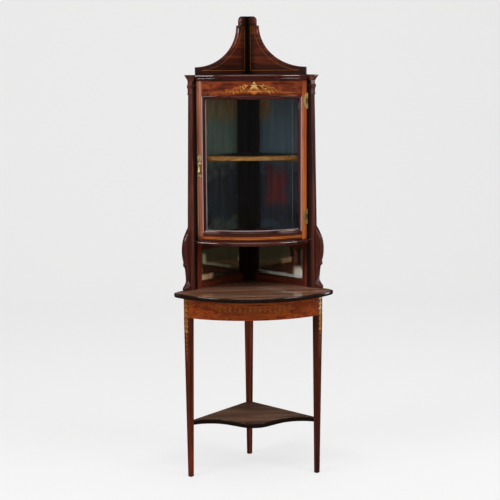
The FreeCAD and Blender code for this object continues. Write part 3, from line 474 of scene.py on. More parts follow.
class Recipe:
    """A material's node tree while it is put together."""

    SHIFTS = (1.0, 0.61, 0.37)  # how far each axis follows a shift of the pattern

    def __init__(self, name: str) -> None:
        """Starts a material that holds only its shader and its output."""
        self.material = bpy.data.materials.new(name)
        self.material.use_nodes = True
        self.nodes = self.material.node_tree.nodes
        self.links = self.material.node_tree.links
        self.shader = self.nodes["Principled BSDF"]

    @classmethod
    def of_world(cls, world: bpy.types.World) -> "Recipe":
        """The same tools over the node tree of a sky.

        Returns:
            A recipe with the sky's nodes and links, and no shader.
        """
        recipe = cls.__new__(cls)
        world.use_nodes = True
        recipe.nodes, recipe.links = world.node_tree.nodes, world.node_tree.links
        return recipe

    def join(self, source: Socket, target: Socket) -> None:
        """Links two sockets."""
        self.links.new(source, target)

    def give(self, target: Socket, value: Socket | Colour | float) -> None:
        """Links a value to a socket, or sets a constant on it."""
        if isinstance(value, Socket):
            self.join(value, target)
        elif isinstance(value, tuple):
            target.default_value = (*value, 1.0)
        else:
            target.default_value = value

    def set(self, **values: Socket | Colour | float) -> None:
        """Gives the shader's own sockets their values; a name's underscores stand for spaces."""
        for name, value in values.items():
            self.give(self.shader.inputs[name.replace("_", " ")], value)

    def maths(self, way: str, a: Socket | float, b: Socket | float) -> Socket:
        """Two values put together by one step of arithmetic.

        Args:
            way: The step, as the node names it.
            a: The first value.
            b: The second value.
        """
        step = self.nodes.new("ShaderNodeMath")
        step.operation = way
        for socket, value in zip(step.inputs, (a, b)):
            self.give(socket, value)
        return step.outputs[0]

    def place(self, turn: Sequence[float], shift: float, scale: Sequence[float]) -> Socket:
        """Object coordinates, turned and shifted, then scaled.

        Args:
            turn: The turn about each axis.
            shift: How far the pattern is shifted along each axis.
            scale: The scale along each turned axis.
        """
        coordinates = self.nodes.new("ShaderNodeTexCoord")
        turned = self.nodes.new("ShaderNodeMapping")
        turned.inputs["Rotation"].default_value = turn
        turned.inputs["Location"].default_value = tuple(share * shift for share in self.SHIFTS)
        scaled = self.nodes.new("ShaderNodeMapping")
        scaled.inputs["Scale"].default_value = scale
        self.join(coordinates.outputs["Object"], turned.inputs["Vector"])
        self.join(turned.outputs["Vector"], scaled.inputs["Vector"])
        return scaled.outputs["Vector"]

    def axis(self, number: int) -> Socket:
        """One of the three object coordinates."""
        split = self.nodes.new("ShaderNodeSeparateXYZ")
        self.join(self.nodes.new("ShaderNodeTexCoord").outputs["Object"], split.inputs[0])
        return split.outputs[number]

    def noise(self, place: Socket, scale: float, detail: float, rough: float = 0.5,
              twist: float = 0.0) -> Socket:
        """A noise field read at a place.

        Args:
            place: The place.
            scale: How fine the field is.
            detail: How many finer layers it carries.
            rough: How strong they are.
            twist: How far the field is bent.
        """
        noise = self.nodes.new("ShaderNodeTexNoise")
        settings = (("Scale", scale), ("Detail", detail), ("Roughness", rough), ("Distortion", twist))
        for name, value in settings:
            noise.inputs[name].default_value = value
        self.join(place, noise.inputs["Vector"])
        return noise.outputs["Fac"]

    def ramp(self, value: Socket, stops: Sequence[tuple[float, Colour]]) -> Socket:
        """A value turned into colours that ease from stop to stop.

        Args:
            value: The value.
            stops: The stops in order, each a value and its colour.
        """
        ramp = self.nodes.new("ShaderNodeValToRGB")
        ramp.color_ramp.interpolation = "EASE"
        marks = ramp.color_ramp.elements
        for _ in stops[2:]:
            marks.new(0.5)
        for mark, (place, colour) in zip(marks, stops):
            mark.position = place
            mark.color = (*colour, 1.0)
        self.join(value, ramp.inputs["Fac"])
        return ramp.outputs["Color"]

    def span(self, value: Socket, low: float, high: float, to_low: float, to_high: float) -> Socket:
        """A value stretched from one range onto another, and clamped.

        Args:
            value: The value.
            low: Where the first range starts.
            high: Where it ends.
            to_low: The result at its start.
            to_high: The result at its end.
        """
        span = self.nodes.new("ShaderNodeMapRange")
        for name, number in (("From Min", low), ("From Max", high), ("To Min", to_low), ("To Max", to_high)):
            span.inputs[name].default_value = number
        self.join(value, span.inputs["Value"])
        return span.outputs["Result"]

    def mix(self, factor: Socket, a: Socket | Colour, b: Socket | Colour) -> Socket:
        """Two colours mixed by a factor.

        Args:
            factor: The share of the second colour.
            a: The first colour.
            b: The second colour.
        """
        mix = self.nodes.new("ShaderNodeMix")
        mix.data_type = "RGBA"
        self.join(factor, mix.inputs[0])
        self.give(mix.inputs[6], a)
        self.give(mix.inputs[7], b)
        return mix.outputs[2]

    def blend(self, factor: Socket, a: Socket, b: Socket) -> Socket:
        """Two shaders blended by a factor.

        Args:
            factor: The share of the second shader.
            a: The first shader.
            b: The second shader.
        """
        blend = self.nodes.new("ShaderNodeMixShader")
        for socket, source in zip(blend.inputs, (factor, a, b)):
            self.join(source, socket)
        return blend.outputs["Shader"]

    def bump(self, value: Socket, strength: float, depth: float) -> None:
        """Raises the surface by a value.

        Args:
            value: The value.
            strength: How strongly it is felt.
            depth: How high it rises, in metres.
        """
        bump = self.nodes.new("ShaderNodeBump")
        bump.inputs["Strength"].default_value = strength
        bump.inputs["Distance"].default_value = depth
        self.join(value, bump.inputs["Height"])
        self.set(Normal=bump.outputs["Normal"])


@dataclass(frozen=True)
class Shade:
    """Where a wood changes colour: fully at one place, not at all from another."""

    axis: Axis
    full: float
    none: float
    colour: Colour

    def share(self, recipe: Recipe) -> Socket:
        """How much of its colour shows: it falls evenly from one to nought."""
        place = recipe.axis(self.axis.value)
        if self.axis is Axis.OFF_MIDDLE:
            place = recipe.maths("ABSOLUTE", place, 0.0)
        return recipe.span(place, self.full, self.none, 1.0, 0.0)


@dataclass(frozen=True)
class Wood:
    """A polished wood: long streaks of three colours, finer dark lines, pores and patina."""

    name: str
    dark: Steps
    body: Steps
    pale: Steps
    streaks: float = 34.0
    lines: float = 0.6
    gloss: float = 0.42
    polish: float = 0.55
    shine: float = 1.5

    def dress(self, grain: Grain, member: int = 0, shades: Sequence[Shade] = ()) -> bpy.types.Material:
        """The wood for one member, with its own stretch of grain.

        Args:
            grain: The way the grain runs.
            member: A number that shifts the figure, so that no two boards match.
            shades: Where it is darkened or made paler, painted shade and painted highlights among them.
        """
        recipe = Recipe(f"{self.name}_{grain.name.lower()}_{member}")
        dark, body, pale = (linear(*steps) for steps in (self.dark, self.body, self.pale))
        shift = 0.83 * member + 0.2

        def board(along: float, across: float) -> Socket:
            """The place on the board, scaled along and across the grain."""
            return recipe.place(grain.value, shift, (along, across, across))

        broad = recipe.noise(board(1.5, self.streaks), 1.0, 5.0, 0.58, 0.7)
        colour = recipe.ramp(broad, ((0.30, dark), (0.44, body), (0.56, pale), (0.70, body)))
        fine = recipe.noise(board(5.0, 4.6 * self.streaks), 1.0, 4.0, 0.6, 0.3)
        lines = recipe.span(fine, 0.50, 0.68, 0.0, self.lines)
        colour = recipe.mix(lines, colour, tuple(0.45 * c for c in dark))
        patina = recipe.noise(board(1.0, 1.0), 4.0, 2.0)
        colour = recipe.mix(recipe.span(patina, 0.35, 0.70, 0.0, 0.35), colour, dark)
        for shade in shades:
            colour = recipe.mix(shade.share(recipe), colour, shade.colour)
        pores = recipe.noise(board(70.0, 1500.0), 1.0, 2.0)
        recipe.bump(pores, 0.10, 0.0002)
        dullness = recipe.span(pores, 0.35, 0.75, self.gloss - 0.06, self.gloss + 0.12)
        recipe.set(Base_Color=colour, Roughness=dullness)
        recipe.set(Coat_Weight=self.polish, Coat_Roughness=0.06, Coat_IOR=self.shine)
        recipe.set(Specular_IOR_Level=0.12, IOR=1.5)
        return recipe.material


@dataclass(frozen=True)
class Metal:
    """An old metal, dulled in patches."""

    name: str
    bright: Colour
    dull: Colour
    shift: float = 0.3
    patches: tuple[float, float] = (160.0, 4.0)
    dulled: tuple[float, float, float] = (0.45, 0.75, 0.8)
    rough: tuple[float, float, float] = (0.8, 0.34, 0.55)
    scratched: bool = True

    def dress(self) -> bpy.types.Material:
        """The metal, with fine scratches where it is handled."""
        recipe = Recipe(self.name)
        patches = recipe.noise(recipe.place(STILL, self.shift, EVEN), *self.patches, 0.6)
        low, high, most = self.dulled
        colour = recipe.mix(recipe.span(patches, low, high, 0.0, most), self.bright, self.dull)
        high, smooth, rough = self.rough
        recipe.set(Base_Color=colour, Roughness=recipe.span(patches, 0.3, high, smooth, rough), Metallic=1.0)
        if self.scratched:
            scratches = recipe.noise(recipe.place((0.0, 0.4, 0.0), 0.1, (300.0, 300.0, 2600.0)), 1.0, 2.0)
            recipe.bump(scratches, 0.06, 0.0001)
        return recipe.material


@dataclass(frozen=True)
class Cloud:
    """A painted reflection on a mirror: a soft-edged box in breadth and height, its colour, and how dull it
    is.
    """

    middle: tuple[float, float]
    half: tuple[float, float]
    colour: Colour
    soft: float = 0.35
    dull: float = 0.0

    def share(self, recipe: Recipe, drift: Socket) -> Socket:
        """How much of the painted reflection shows: it falls from one to nought over the soft edge.

        The measure is the larger of |x - middle| / half and |z - middle| / half, plus a drift.
        """
        parts = []
        for axis, middle, half in zip((Axis.OFF_MIDDLE, Axis.HEIGHT), self.middle, self.half):
            off = recipe.maths("SUBTRACT", recipe.axis(axis.value), middle)
            parts.append(recipe.maths("DIVIDE", recipe.maths("ABSOLUTE", off, 0.0), half))
        reach = recipe.maths("ADD", recipe.maths("MAXIMUM", *parts), drift)
        return recipe.span(reach, 1.0 - self.soft, 1.0 + self.soft, 1.0, 0.0)


@dataclass(frozen=True)
class MirrorGlass:
    """Old silvered glass, part silver and part tinted, with streaks and foxing; its tints and soft patches
    are painted reflections of the room, the floor and the cabinet.
    """

    name: str
    tint: Colour
    streak: Colour
    clouds: tuple[Cloud, ...] = ()
    silver: float = 0.5
    foxing: Colour = linear(40, 32, 24)

    def dress(self) -> bpy.types.Material:
        """The silvering of one mirror with its painted reflections; a dull patch takes its share of the
        silver away.
        """
        recipe = Recipe(self.name)
        plain = recipe.place(STILL, 0.4, EVEN)
        falls = recipe.noise(recipe.place(STILL, 0.2, (42.0, 42.0, 4.0)), 1.0, 3.0, 0.6, 0.4)
        streaks = recipe.span(falls, 0.42, 0.66, 0.0, 0.6)
        colour = recipe.mix(streaks, self.tint, self.streak)
        silver = self.silver
        drift = recipe.span(recipe.noise(plain, 24.0, 3.0), 0.3, 0.7, -0.25, 0.25)
        for painted_patch in self.clouds:
            share = painted_patch.share(recipe, drift)
            brighter = tuple(min(1.0, 1.9 * c) for c in painted_patch.colour)
            colour = recipe.mix(share, colour, recipe.mix(streaks, painted_patch.colour, brighter))
            if painted_patch.dull:
                keep = recipe.maths("SUBTRACT", 1.0, recipe.maths("MULTIPLY", share, painted_patch.dull))
                silver = recipe.maths("MULTIPLY", silver, keep)
        spots = recipe.span(recipe.noise(plain, 90.0, 5.0, 0.7), 0.68, 0.76, 0.0, 0.7)
        colour = recipe.mix(spots, colour, self.foxing)
        recipe.set(Base_Color=colour, Roughness=recipe.span(spots, 0.0, 1.0, 0.03, 0.35), Metallic=silver)
        return recipe.material


@dataclass(frozen=True)
class DoorGlass:
    """Clear hand-bent glass with faint smears."""

    name: str = "bent_glass"
    tint: Colour = (0.95, 0.98, 0.96)

    def dress(self) -> bpy.types.Material:
        """The glass of the door."""
        recipe = Recipe(self.name)
        smears = recipe.noise(recipe.place((0.0, 0.3, 0.0), 0.2, (2.0, 2.0, 9.0)), 1.0, 3.0)
        recipe.set(Base_Color=self.tint, Roughness=recipe.span(smears, 0.5, 0.8, 0.0, 0.01))
        recipe.set(Transmission_Weight=1.0, IOR=1.45)
        return recipe.material


ROSEWOOD = Wood("rosewood", (62, 20, 8), (113, 42, 14), (144, 64, 23), streaks=34.0, lines=0.7)
# The left door stile's pale pinkish tone is a painted sheen.
STILEWOOD_PAINTED_SHEEN = Wood("stile_wood", (92, 42, 26), (148, 89, 66), (182, 124, 98), streaks=30.0, lines=0.6,
                 gloss=0.34)
HINGEWOOD = Wood("hinge_stile_wood", (92, 38, 15), (174, 84, 40), (212, 120, 60), streaks=38.0,
                 lines=0.75)
FRAMEWOOD = Wood("frame_wood", (50, 18, 10), (104, 40, 24), (134, 56, 34), streaks=30.0, lines=0.6)
SHADED = Wood("shaded_rosewood", (30, 10, 6), (74, 27, 15), (102, 42, 20), streaks=30.0, lines=0.7)
GALLERY = Wood("gallery_wood", (32, 11, 7), (76, 30, 18), (106, 46, 26), streaks=30.0, lines=0.7)
INSIDE = Wood("inside_wood", (14, 9, 6), (30, 18, 12), (44, 27, 17), streaks=30.0, lines=0.5, gloss=0.5,
              polish=0.1)
MOULDING = Wood("moulding_wood", (24, 9, 7), (58, 24, 19), (82, 38, 30), streaks=40.0, lines=0.5,
                gloss=0.24, polish=0.9)
CORNICEWOOD = replace(MOULDING, name="cornice_wood", gloss=0.26, shine=1.6)
CAPWOOD = Wood("cap_wood", (30, 13, 10), (78, 42, 34), (110, 66, 54), streaks=40.0, lines=0.5,
               gloss=0.24, polish=0.9)
POSTWOOD = Wood("post_wood", (28, 11, 8), (76, 34, 26), (106, 54, 43), streaks=40.0, lines=0.7,
                gloss=0.40, polish=0.4)
BRACKETWOOD = Wood("bracket_wood", (26, 9, 7), (66, 27, 20), (94, 42, 31), streaks=60.0, lines=0.9)
LEGWOOD = Wood("leg_wood", (36, 11, 4), (84, 30, 10), (114, 47, 18), streaks=46.0, lines=0.7)
# Lit and shaded copies of the leg wood: painted light for the front left leg, painted shade for the front
# right.
LEGWOOD_PAINTED_LIGHT = Wood("pale_leg_wood", (44, 13, 5), (100, 35, 12), (134, 54, 20), streaks=46.0, lines=0.8)
LEGWOOD_PAINTED_SHADE = Wood("dark_leg_wood", (28, 9, 4), (66, 23, 9), (92, 37, 16), streaks=46.0, lines=0.8)
APRON = Wood("apron_wood", (90, 33, 6), (146, 57, 9), (172, 78, 17), streaks=60.0, lines=0.9)
TABLE = Wood("table_wood", (60, 36, 26), (116, 78, 58), (152, 112, 90), streaks=26.0, lines=0.6,
             gloss=0.30, polish=0.8)
TIER = Wood("tier_wood", (48, 30, 22), (86, 58, 44), (112, 82, 64), streaks=26.0, lines=0.6, gloss=0.46,
            polish=0.25)
TULIPWOOD = Wood("tulipwood", (128, 62, 18), (164, 92, 32), (184, 116, 48), streaks=60.0, lines=0.3)
BOXWOOD = Wood("boxwood", (132, 76, 24), (184, 114, 40), (212, 148, 64), streaks=60.0, lines=0.25)
HOLLY = Wood("holly", (170, 138, 62), (208, 180, 94), (230, 208, 128), streaks=60.0, lines=0.1)
SATINWOOD = Wood("satinwood", (150, 74, 26), (192, 110, 40), (214, 138, 58), streaks=60.0, lines=0.3)
SHELF_EDGE = Wood("shelf_edge_wood", (120, 70, 28), (186, 124, 58), (216, 158, 82), streaks=50.0,
                  lines=0.5)
PINE = Wood("pine", (104, 70, 40), (150, 110, 68), (176, 136, 90), streaks=22.0, lines=0.35, gloss=0.62,
            polish=0.0)
BRASS = Metal("brass", linear(246, 224, 160), linear(196, 158, 92))
# Darker brass for the case leaves and pins, which sit in the gap beside the post: painted shade.
BRASS_PAINTED_SHADE = Metal("tarnished_brass", linear(170, 138, 84), linear(124, 96, 54))
STEEL = Metal("steel", linear(150, 148, 142), linear(84, 62, 48), 0.7, (120.0, 5.0), (0.5, 0.7, 0.7),
              (0.7, 0.32, 0.6), False)


# ---------------------------------------------------------------- stand
@dataclass
class Stand:
    """The three-legged table: legs, bowed apron, table top and undertier."""

    leg_height: float = 0.762
    leg_side: float = 0.029
    foot_side: float = 0.017
    leg_inset: float = 0.018
    leg_reach: float = 0.3885
    taper_z: float = 0.661
    frieze_height: float = 0.089
    frieze_thickness: float = 0.020
    frieze_bow: float = 0.076
    table_thickness: float = 0.020
    table_reach: float = 0.4575
    table_depth: float = 0.480
    table_tip: float = 0.010
    table_rounds: tuple[float, float] = (0.006, 0.009)
    tier_z: float = 0.214
    tier_thickness: float = 0.020
    tier_depth: float = 0.339
    tier_waist: float = 0.261
    tier_half_wave: float = 0.190
    tier_tip: float = 0.095
    tier_slope: float = math.radians(35.0)
    tier_rounds: tuple[float, float] = (0.005, 0.004)
    tier_gap: float = 0.001
    tier_fade: float = 0.010

    @property
    def leg_x(self) -> float:
        """How far a front leg's centre stands from the middle plane."""
        return (self.leg_reach - self.leg_inset) / ROOT2

    @property
    def apron(self) -> Bow:
        """The axis of the bowed apron."""
        end_y = ROOM_CORNER_Y - (self.leg_reach + self.leg_inset + self.leg_side) / ROOT2
        return Bow(end_y - self.frieze_bow + self.apron_radius)

    @property
    def apron_radius(self) -> float:
        """The radius of the apron's front: half chord and rise give (x squared + b squared) / 2 b."""
        return (self.leg_x ** 2 + self.frieze_bow ** 2) / (2.0 * self.frieze_bow)

    def half_side(self, z: Array | float) -> Array:
        """Half the side of a leg: it grows evenly from the foot to the taper's start."""
        taper = np.minimum(z, self.taper_z) / self.taper_z
        return (self.foot_side + (self.leg_side - self.foot_side) * taper) / 2.0

    def leg(self, side: Side, s: float, o: float) -> Skin:
        """A square leg with eased corners: each ring is a square of the taper's half side.

        Args:
            side: The wall that the leg stands by.
            s: Its centre along the wall.
            o: Its centre out from the wall.
        """
        z = np.array([0.0, ARRIS, 0.1, 0.25, 0.45, self.taper_z, self.taper_z + 0.004, self.leg_height])
        half = self.half_side(z) - np.where(z > 0.0, 0.0, ARRIS)
        square = half[:, None, None] * eased_box((-1.0, -1.0), (1.0, 1.0), 0.12)
        return Skin.tube(wall_point(side, s + square[..., 0], o + square[..., 1], z[:, None]))

    @staticmethod
    def wall_edges(reach: float, gap: float) -> Array:
        """A board's edges along both walls: three points in plan, from right to left, a gap off the walls."""
        corner_y = ROOM_CORNER_Y - gap * ROOT2
        return np.array([[reach, corner_y - reach], [0.0, corner_y], [-reach, corner_y - reach]])

    @staticmethod
    def slab(line: Array, normals: Array, weight: Array | float, z0: float, thickness: float,
             rounds: tuple[float, float]) -> Skin:
        """A flat board whose edge is rounded above and below where weight is one.

        Each ring is the outline moved inwards: by r (1 - sin t) where it rises r (1 - cos t).

        Args:
            line: The outline in plan, (points, 2).
            normals: The outward direction at each point, nought where the edge is square.
            weight: The share of the rounding that each point has, or one share for all.
            z0: The underside.
            thickness: The board's thickness.
            rounds: The upper and the lower round.
        """
        upper, lower = rounds
        z1 = z0 + thickness
        t = np.linspace(0.0, QUARTER, 7)
        inset = np.concatenate([lower * (1.0 - np.sin(t)), upper * (1.0 - np.cos(t))])
        z = np.concatenate([z0 + lower * (1.0 - np.cos(t)), z1 - upper * (1.0 - np.sin(t))])
        plan = line[None] - normals[None] * np.reshape(weight, (1, -1, 1)) * inset[:, None, None]
        rings = np.concatenate([plan, np.broadcast_to(z[:, None, None], (*plan.shape[:2], 1))], axis=-1)
        return Skin.tube(rings)

    def table_top(self) -> Skin:
        """The bowed top: a wide front arc, small round tips tangent to it, and two straight wall edges.

        A tip's centre lies the tip's radius off the wall, and the front's radius less the tip's
        from the centre of the front.
        """
        half = self.table_reach / ROOT2
        rise = self.table_depth - half
        radius = (half ** 2 + rise ** 2) / (2.0 * rise)
        centre = np.array([0.0, ROOM_CORNER_Y - self.table_depth + radius])
        along = np.array([1.0, -1.0]) / ROOT2
        start = np.array([-self.table_tip / ROOT2, ROOM_CORNER_Y - self.table_tip / ROOT2]) - centre
        reach = radius - self.table_tip
        run = -start @ along + math.sqrt((start @ along) ** 2 - start @ start + reach ** 2)
        tip = centre + start + run * along
        edge = math.atan2(*(tip - centre)[::-1])
        sweep = np.linspace(-math.pi - edge, edge, 97)
        bend = np.linspace(edge, math.pi / 4.0, 10)
        outward, turn = circle(sweep), circle(bend)
        right = tip + self.table_tip * turn
        wall = self.wall_edges(0.30, 0.0)
        line = np.concatenate([centre + radius * outward, right[1:], wall, (right * MIRRORED)[:0:-1]])
        normals = np.concatenate([outward, turn[1:], np.zeros_like(wall), (turn * MIRRORED)[:0:-1]])
        return self.slab(line, normals, 1.0, self.leg_height, self.table_thickness, self.table_rounds)

    def undertier(self) -> Skin:
        """The shelf's serpentine: a round tip, a straight run and a hollow on each side, all tangent.

        With slope p, half wave a and rise b, the run is (b - a tan(p / 2)) / (sin p - cos p tan(p / 2)),
        and the hollow's radius is (a - run cos p) / sin p less the tip's.
        """
        slope, across, lean = self.tier_slope, self.tier_half_wave, math.tan(self.tier_slope / 2.0)
        rise = self.tier_depth - self.tier_waist
        run = (rise - across * lean) / (math.sin(slope) - math.cos(slope) * lean)
        hollow = (across - run * math.cos(slope)) / math.sin(slope) - self.tier_tip
        front_y, waist_y = ROOM_CORNER_Y - self.tier_depth, ROOM_CORNER_Y - self.tier_waist
        t = np.linspace(0.0, slope, 15)
        tip = pairs(self.tier_tip * np.sin(t), front_y + self.tier_tip * (1.0 - np.cos(t)))
        tip_normal = pairs(np.sin(t), -np.cos(t))
        last = math.asin(min(1.0, (self.leg_x - across) / hollow))
        w = np.linspace(slope, -last, 25)
        dip = pairs(across - hollow * np.sin(w), waist_y - hollow + hollow * np.cos(w))
        dip_normal = pairs(np.sin(w), -np.cos(w))
        gap = self.leg_inset - float(self.half_side(self.tier_z)) + self.tier_gap
        wall = self.wall_edges(self.leg_x, gap)
        half_line, half_normals = np.concatenate([tip, dip]), np.concatenate([tip_normal, dip_normal])
        line = np.concatenate([half_line, wall, (half_line * MIRRORED)[:0:-1]])
        normals = np.concatenate([half_normals, np.zeros_like(wall), (half_normals * MIRRORED)[:0:-1]])
        weight = np.clip((self.leg_x - np.abs(line[:, 0])) / self.tier_fade, 0.0, 1.0)
        return self.slab(line, normals, weight, self.tier_z, self.tier_thickness, self.tier_rounds)

    def frieze(self) -> Skin:
        """The apron: an eased rectangle carried round its bow from leg to leg."""
        radius = self.apron_radius
        foot = (radius - self.frieze_thickness, self.leg_height - self.frieze_height)
        profile = eased_box(foot, (radius, self.leg_height), ARRIS)
        return Skin.tube(self.apron.sweep(profile, math.asin(self.leg_x / radius), 65))

    def frieze_inlay(self) -> Skin:
        """A faint band along the middle of the apron: paterae in a fine trellis of leafy stems.

        The stems go as z = 8.5 mm cos(2 pi u / 40 mm) above and below the middle line.
        """
        inlay = Inlay(bow_carrier(self.apron, self.apron_radius))
        z, reach, pitch = self.leg_height - 0.5 * self.frieze_height, 0.150, 0.020
        u = np.linspace(-reach, reach, 241)
        for way in WAYS:
            inlay.ribbon(pairs(u, z + way * 0.0085 * np.cos(u * FULL / (2.0 * pitch))), 0.0003)
            inlay.line(((-reach, z + way * 0.0135), (reach, z + way * 0.0135)), 0.0005, 60)
        for k in range(-7, 8):
            middle = pitch * k
            inlay.dot((middle, z), 0.0034 if k % 2 else 0.0018)
            for way in WAYS:
                for lean in (1.0, -1.0):
                    tip = (middle + lean * 0.006, z + way * 0.0115)
                    inlay.leaf((middle, z + way * 0.0045), tip, 0.0022, lean * 0.001)
        return inlay.skin()

    def leg_inlay(self, side: Side) -> Skin:
        """A dense arabesque of crossed stems, scrolls and leaves down a leg's outer face, ending in husks.

        The stems go as u = 5.2 mm sin(2 pi (head - z) / 42 mm) to the left and to the right.
        """
        def face(u: Array, z: Array, h: Array) -> Array:
            """The leg's outer face: u across it, z up, h out."""
            s = self.leg_reach + self.half_side(np.maximum(z, 0.0)) + h
            return wall_point(side, s, self.leg_inset + u, z + 0.0 * h)

        inlay = Inlay(face)
        head, pitch = 0.757, 0.042
        z = np.linspace(head, 0.606, 121)
        for way in WAYS:
            inlay.ribbon(pairs(way * 0.0052 * np.sin((head - z) * FULL / pitch), z), 0.0008)
            inlay.line(((way * 0.0118, head), (way * 0.0118, 0.672)), 0.0010)
            for k in range(7):
                foot = head - 0.005 - 0.5 * pitch * k
                inlay.scroll((way * 0.0030, foot), 0.0042, way * 1.1, 0.0 if way > 0 else math.pi, 0.0020)
                inlay.leaf((way * 0.002, foot - 0.004), (way * 0.0098, foot - 0.013), 0.0042, -way * 0.0012)
        for k in range(14):
            foot, size = 0.750 - 0.0185 * k, 1.0 - 0.045 * k
            inlay.leaf((0.0, foot), (0.0, foot - 0.0160 * size), 0.0040 * size)
            for way in WAYS:
                tip = (way * 0.0065 * size, foot - 0.011 * size)
                inlay.leaf((0.0, foot), tip, 0.0034 * size, -way * 0.0012)
        inlay.line(((0.0, 0.752), (0.0, 0.490)), 0.0007, 60)
        return inlay.skin()

    @staticmethod
    def dark_edge(upper_z: float, colour: Colour) -> Shade:
        """The edge of a board, dark from below up to just under its upper side."""
        return Shade(Axis.HEIGHT, upper_z - 0.0010, upper_z - 0.0002, colour)

    def build(self) -> None:
        """Builds and hangs the stand."""
        # The front legs take the lit and shaded copies of the leg wood: painted light and painted shade.
        legs = (("leg_back", Side.LEFT, self.leg_inset, LEGWOOD),
                ("leg_front_left", Side.LEFT, self.leg_reach, LEGWOOD_PAINTED_LIGHT),
                ("leg_front_right", Side.RIGHT, self.leg_reach, LEGWOOD_PAINTED_SHADE))
        for number, (node, side, s, wood) in enumerate(legs):
            leg = Piece.of(node, wood.dress(Grain.UPRIGHT, number), Slot.DARK_ROSEWOOD)
            leg.build(self.leg(side, s, self.leg_inset))
        edge = self.dark_edge(self.leg_height + self.table_thickness, linear(30, 13, 6))
        in_shadow = Shade(Axis.DEPTH, 0.150, -0.020, linear(50, 29, 20))
        table = TABLE.dress(Grain.ACROSS, 0, (in_shadow, edge))
        Piece.of("table_top", table, Slot.TABLE_WOOD).build(self.table_top())
        edge = self.dark_edge(self.tier_z + self.tier_thickness, linear(26, 13, 7))
        Piece.of("undertier", TIER.dress(Grain.ACROSS, 3, (edge,)), Slot.TABLE_WOOD).build(self.undertier())
        apron = APRON.dress(Grain.ACROSS, 1)
        Piece("dressed_frieze", apron, Slot.ROSEWOOD, nodes=("frieze_front",)).build(self.frieze())
        Piece("frieze_marquetry", TULIPWOOD.dress(Grain.ACROSS, 2), Slot.BOXWOOD).build(self.frieze_inlay())
        for side in Side:
            inlay = Piece(f"leg_marquetry_{side.word}", BOXWOOD.dress(Grain.UPRIGHT, 4), Slot.BOXWOOD)
            inlay.build(self.leg_inlay(side))
        for number, side in enumerate(Side):
            paint((f"side_rail_{side.word}",), SHADED.dress(Grain.along(side), 5 + number))
        paint(("glue_blocks",), PINE.dress(Grain.ACROSS, 1))


# ---------------------------------------------------------------- back frames
@dataclass
class BackFrames:
    """The framed mirrors and backboards along both walls."""

    mirror_back: float = 0.008
    mirror_thickness: float = 0.004
    mirror_lap: float = 0.006
    opening_end: float = 0.311
    lower_opening: tuple[float, float, float] = (0.0585, 0.812, 0.938)
    upper_opening: tuple[float, float, float] = (0.077, 1.003, 1.590)
    bevel_width: float = 0.014
    bevel_drop: float = 0.0012

    def mirror(self, side: Side, opening: tuple[float, float, float]) -> Skin:
        """A mirror plate whose face slopes back over a bevel along its border.

        Args:
            side: The wall.
            opening: Where the opening starts along the wall, its foot and its head.
        """
        face = self.mirror_back + self.mirror_thickness
        lap, bevel = self.mirror_lap, self.bevel_width
        insets = np.array([0.0, 0.0, lap, lap + bevel])
        outs = np.array([self.mirror_back, face - self.bevel_drop, face - self.bevel_drop, face])
        start, foot, head = opening
        s0, s1 = start - lap + insets, self.opening_end + lap - insets
        low, high = foot - lap + insets, head + lap - insets
        s = np.stack([s0, s1, s1, s0], axis=-1)
        z = np.stack([low, low, high, high], axis=-1)
        return Skin.tube(wall_point(side, s, outs[:, None], z))

    def build(self) -> None:
        """Finishes the frames and builds the mirrors."""
        # Painted reflections: each mirror's tints and soft patches stand for the room, the cabinet's woods,
        # the pale floor and a bevel's glint that it would reflect.
        clouds = {
            ("upper_mirror", Side.LEFT): (linear(142, 160, 144), linear(170, 184, 166), (
                Cloud((-0.110, 1.540), (0.110, 0.075), linear(170, 142, 100)),
                Cloud((-0.110, 1.140), (0.110, 0.130), linear(68, 78, 86)))),
            ("upper_mirror", Side.RIGHT): (linear(120, 138, 156), linear(142, 162, 180), (
                Cloud((0.062, 1.540), (0.020, 0.075), linear(180, 134, 88)),
                Cloud((0.110, 1.140), (0.115, 0.130), linear(78, 82, 98)),
                Cloud((0.108, 1.185), (0.036, 0.070), linear(146, 66, 70)),
                Cloud((0.170, 1.280), (0.0014, 0.270), linear(170, 182, 186), 0.2))),
            ("lower_mirror", Side.LEFT): (linear(164, 158, 132), linear(196, 190, 160), (
                Cloud((-0.190, 0.820), (0.026, 0.012), linear(196, 160, 124), dull=1.0),)),
            ("lower_mirror", Side.RIGHT): (linear(176, 172, 150), linear(206, 202, 182), (
                Cloud((0.196, 0.832), (0.020, 0.024), linear(255, 250, 232), dull=1.0),
                Cloud((0.140, 0.815), (0.075, 0.009), linear(210, 224, 216), dull=0.9))),
        }
        silvering = {"upper_mirror": 0.5, "lower_mirror": 0.96}
        # Painted shadow: the front stiles go near black in the gap beside the post, and beyond it a darker
        # brown, painted shade beside the post.
        painted_gap_shadow = Shade(Axis.OFF_MIDDLE, 0.2232, 0.2217, linear(12, 7, 5))
        painted_post_shade = Shade(Axis.OFF_MIDDLE, 0.2290, 0.2285, linear(56, 25, 19))
        for number, side in enumerate(Side):
            word = side.word
            paint((f"corner_stile_{word}",), INSIDE.dress(Grain.UPRIGHT, 7 + number))
            paint((f"front_stile_{word}",), FRAMEWOOD.dress(Grain.UPRIGHT, 9 + number, (painted_gap_shadow, painted_post_shade)))
            rails = (f"bottom_rail_{word}", f"middle_rail_{word}", f"top_rail_{word}")
            paint(rails, SHADED.dress(Grain.along(side), 11 + number))
            paint((f"backboard_{word}",), PINE.dress(Grain.UPRIGHT, 2 + number))
            for name, opening in (("lower_mirror", self.lower_opening), ("upper_mirror", self.upper_opening)):
                tint, streak, patches = clouds[name, side]
                silver = MirrorGlass(f"old_{name}_{word}", tint, streak, patches, silvering[name]).dress()
                plate = Piece.of(f"{name}_{word}", silver, Slot.MIRROR, crease=BEVELLED)
                plate.build(self.mirror(side, opening))
        paint(("corner_post",), INSIDE.dress(Grain.UPRIGHT, 13))


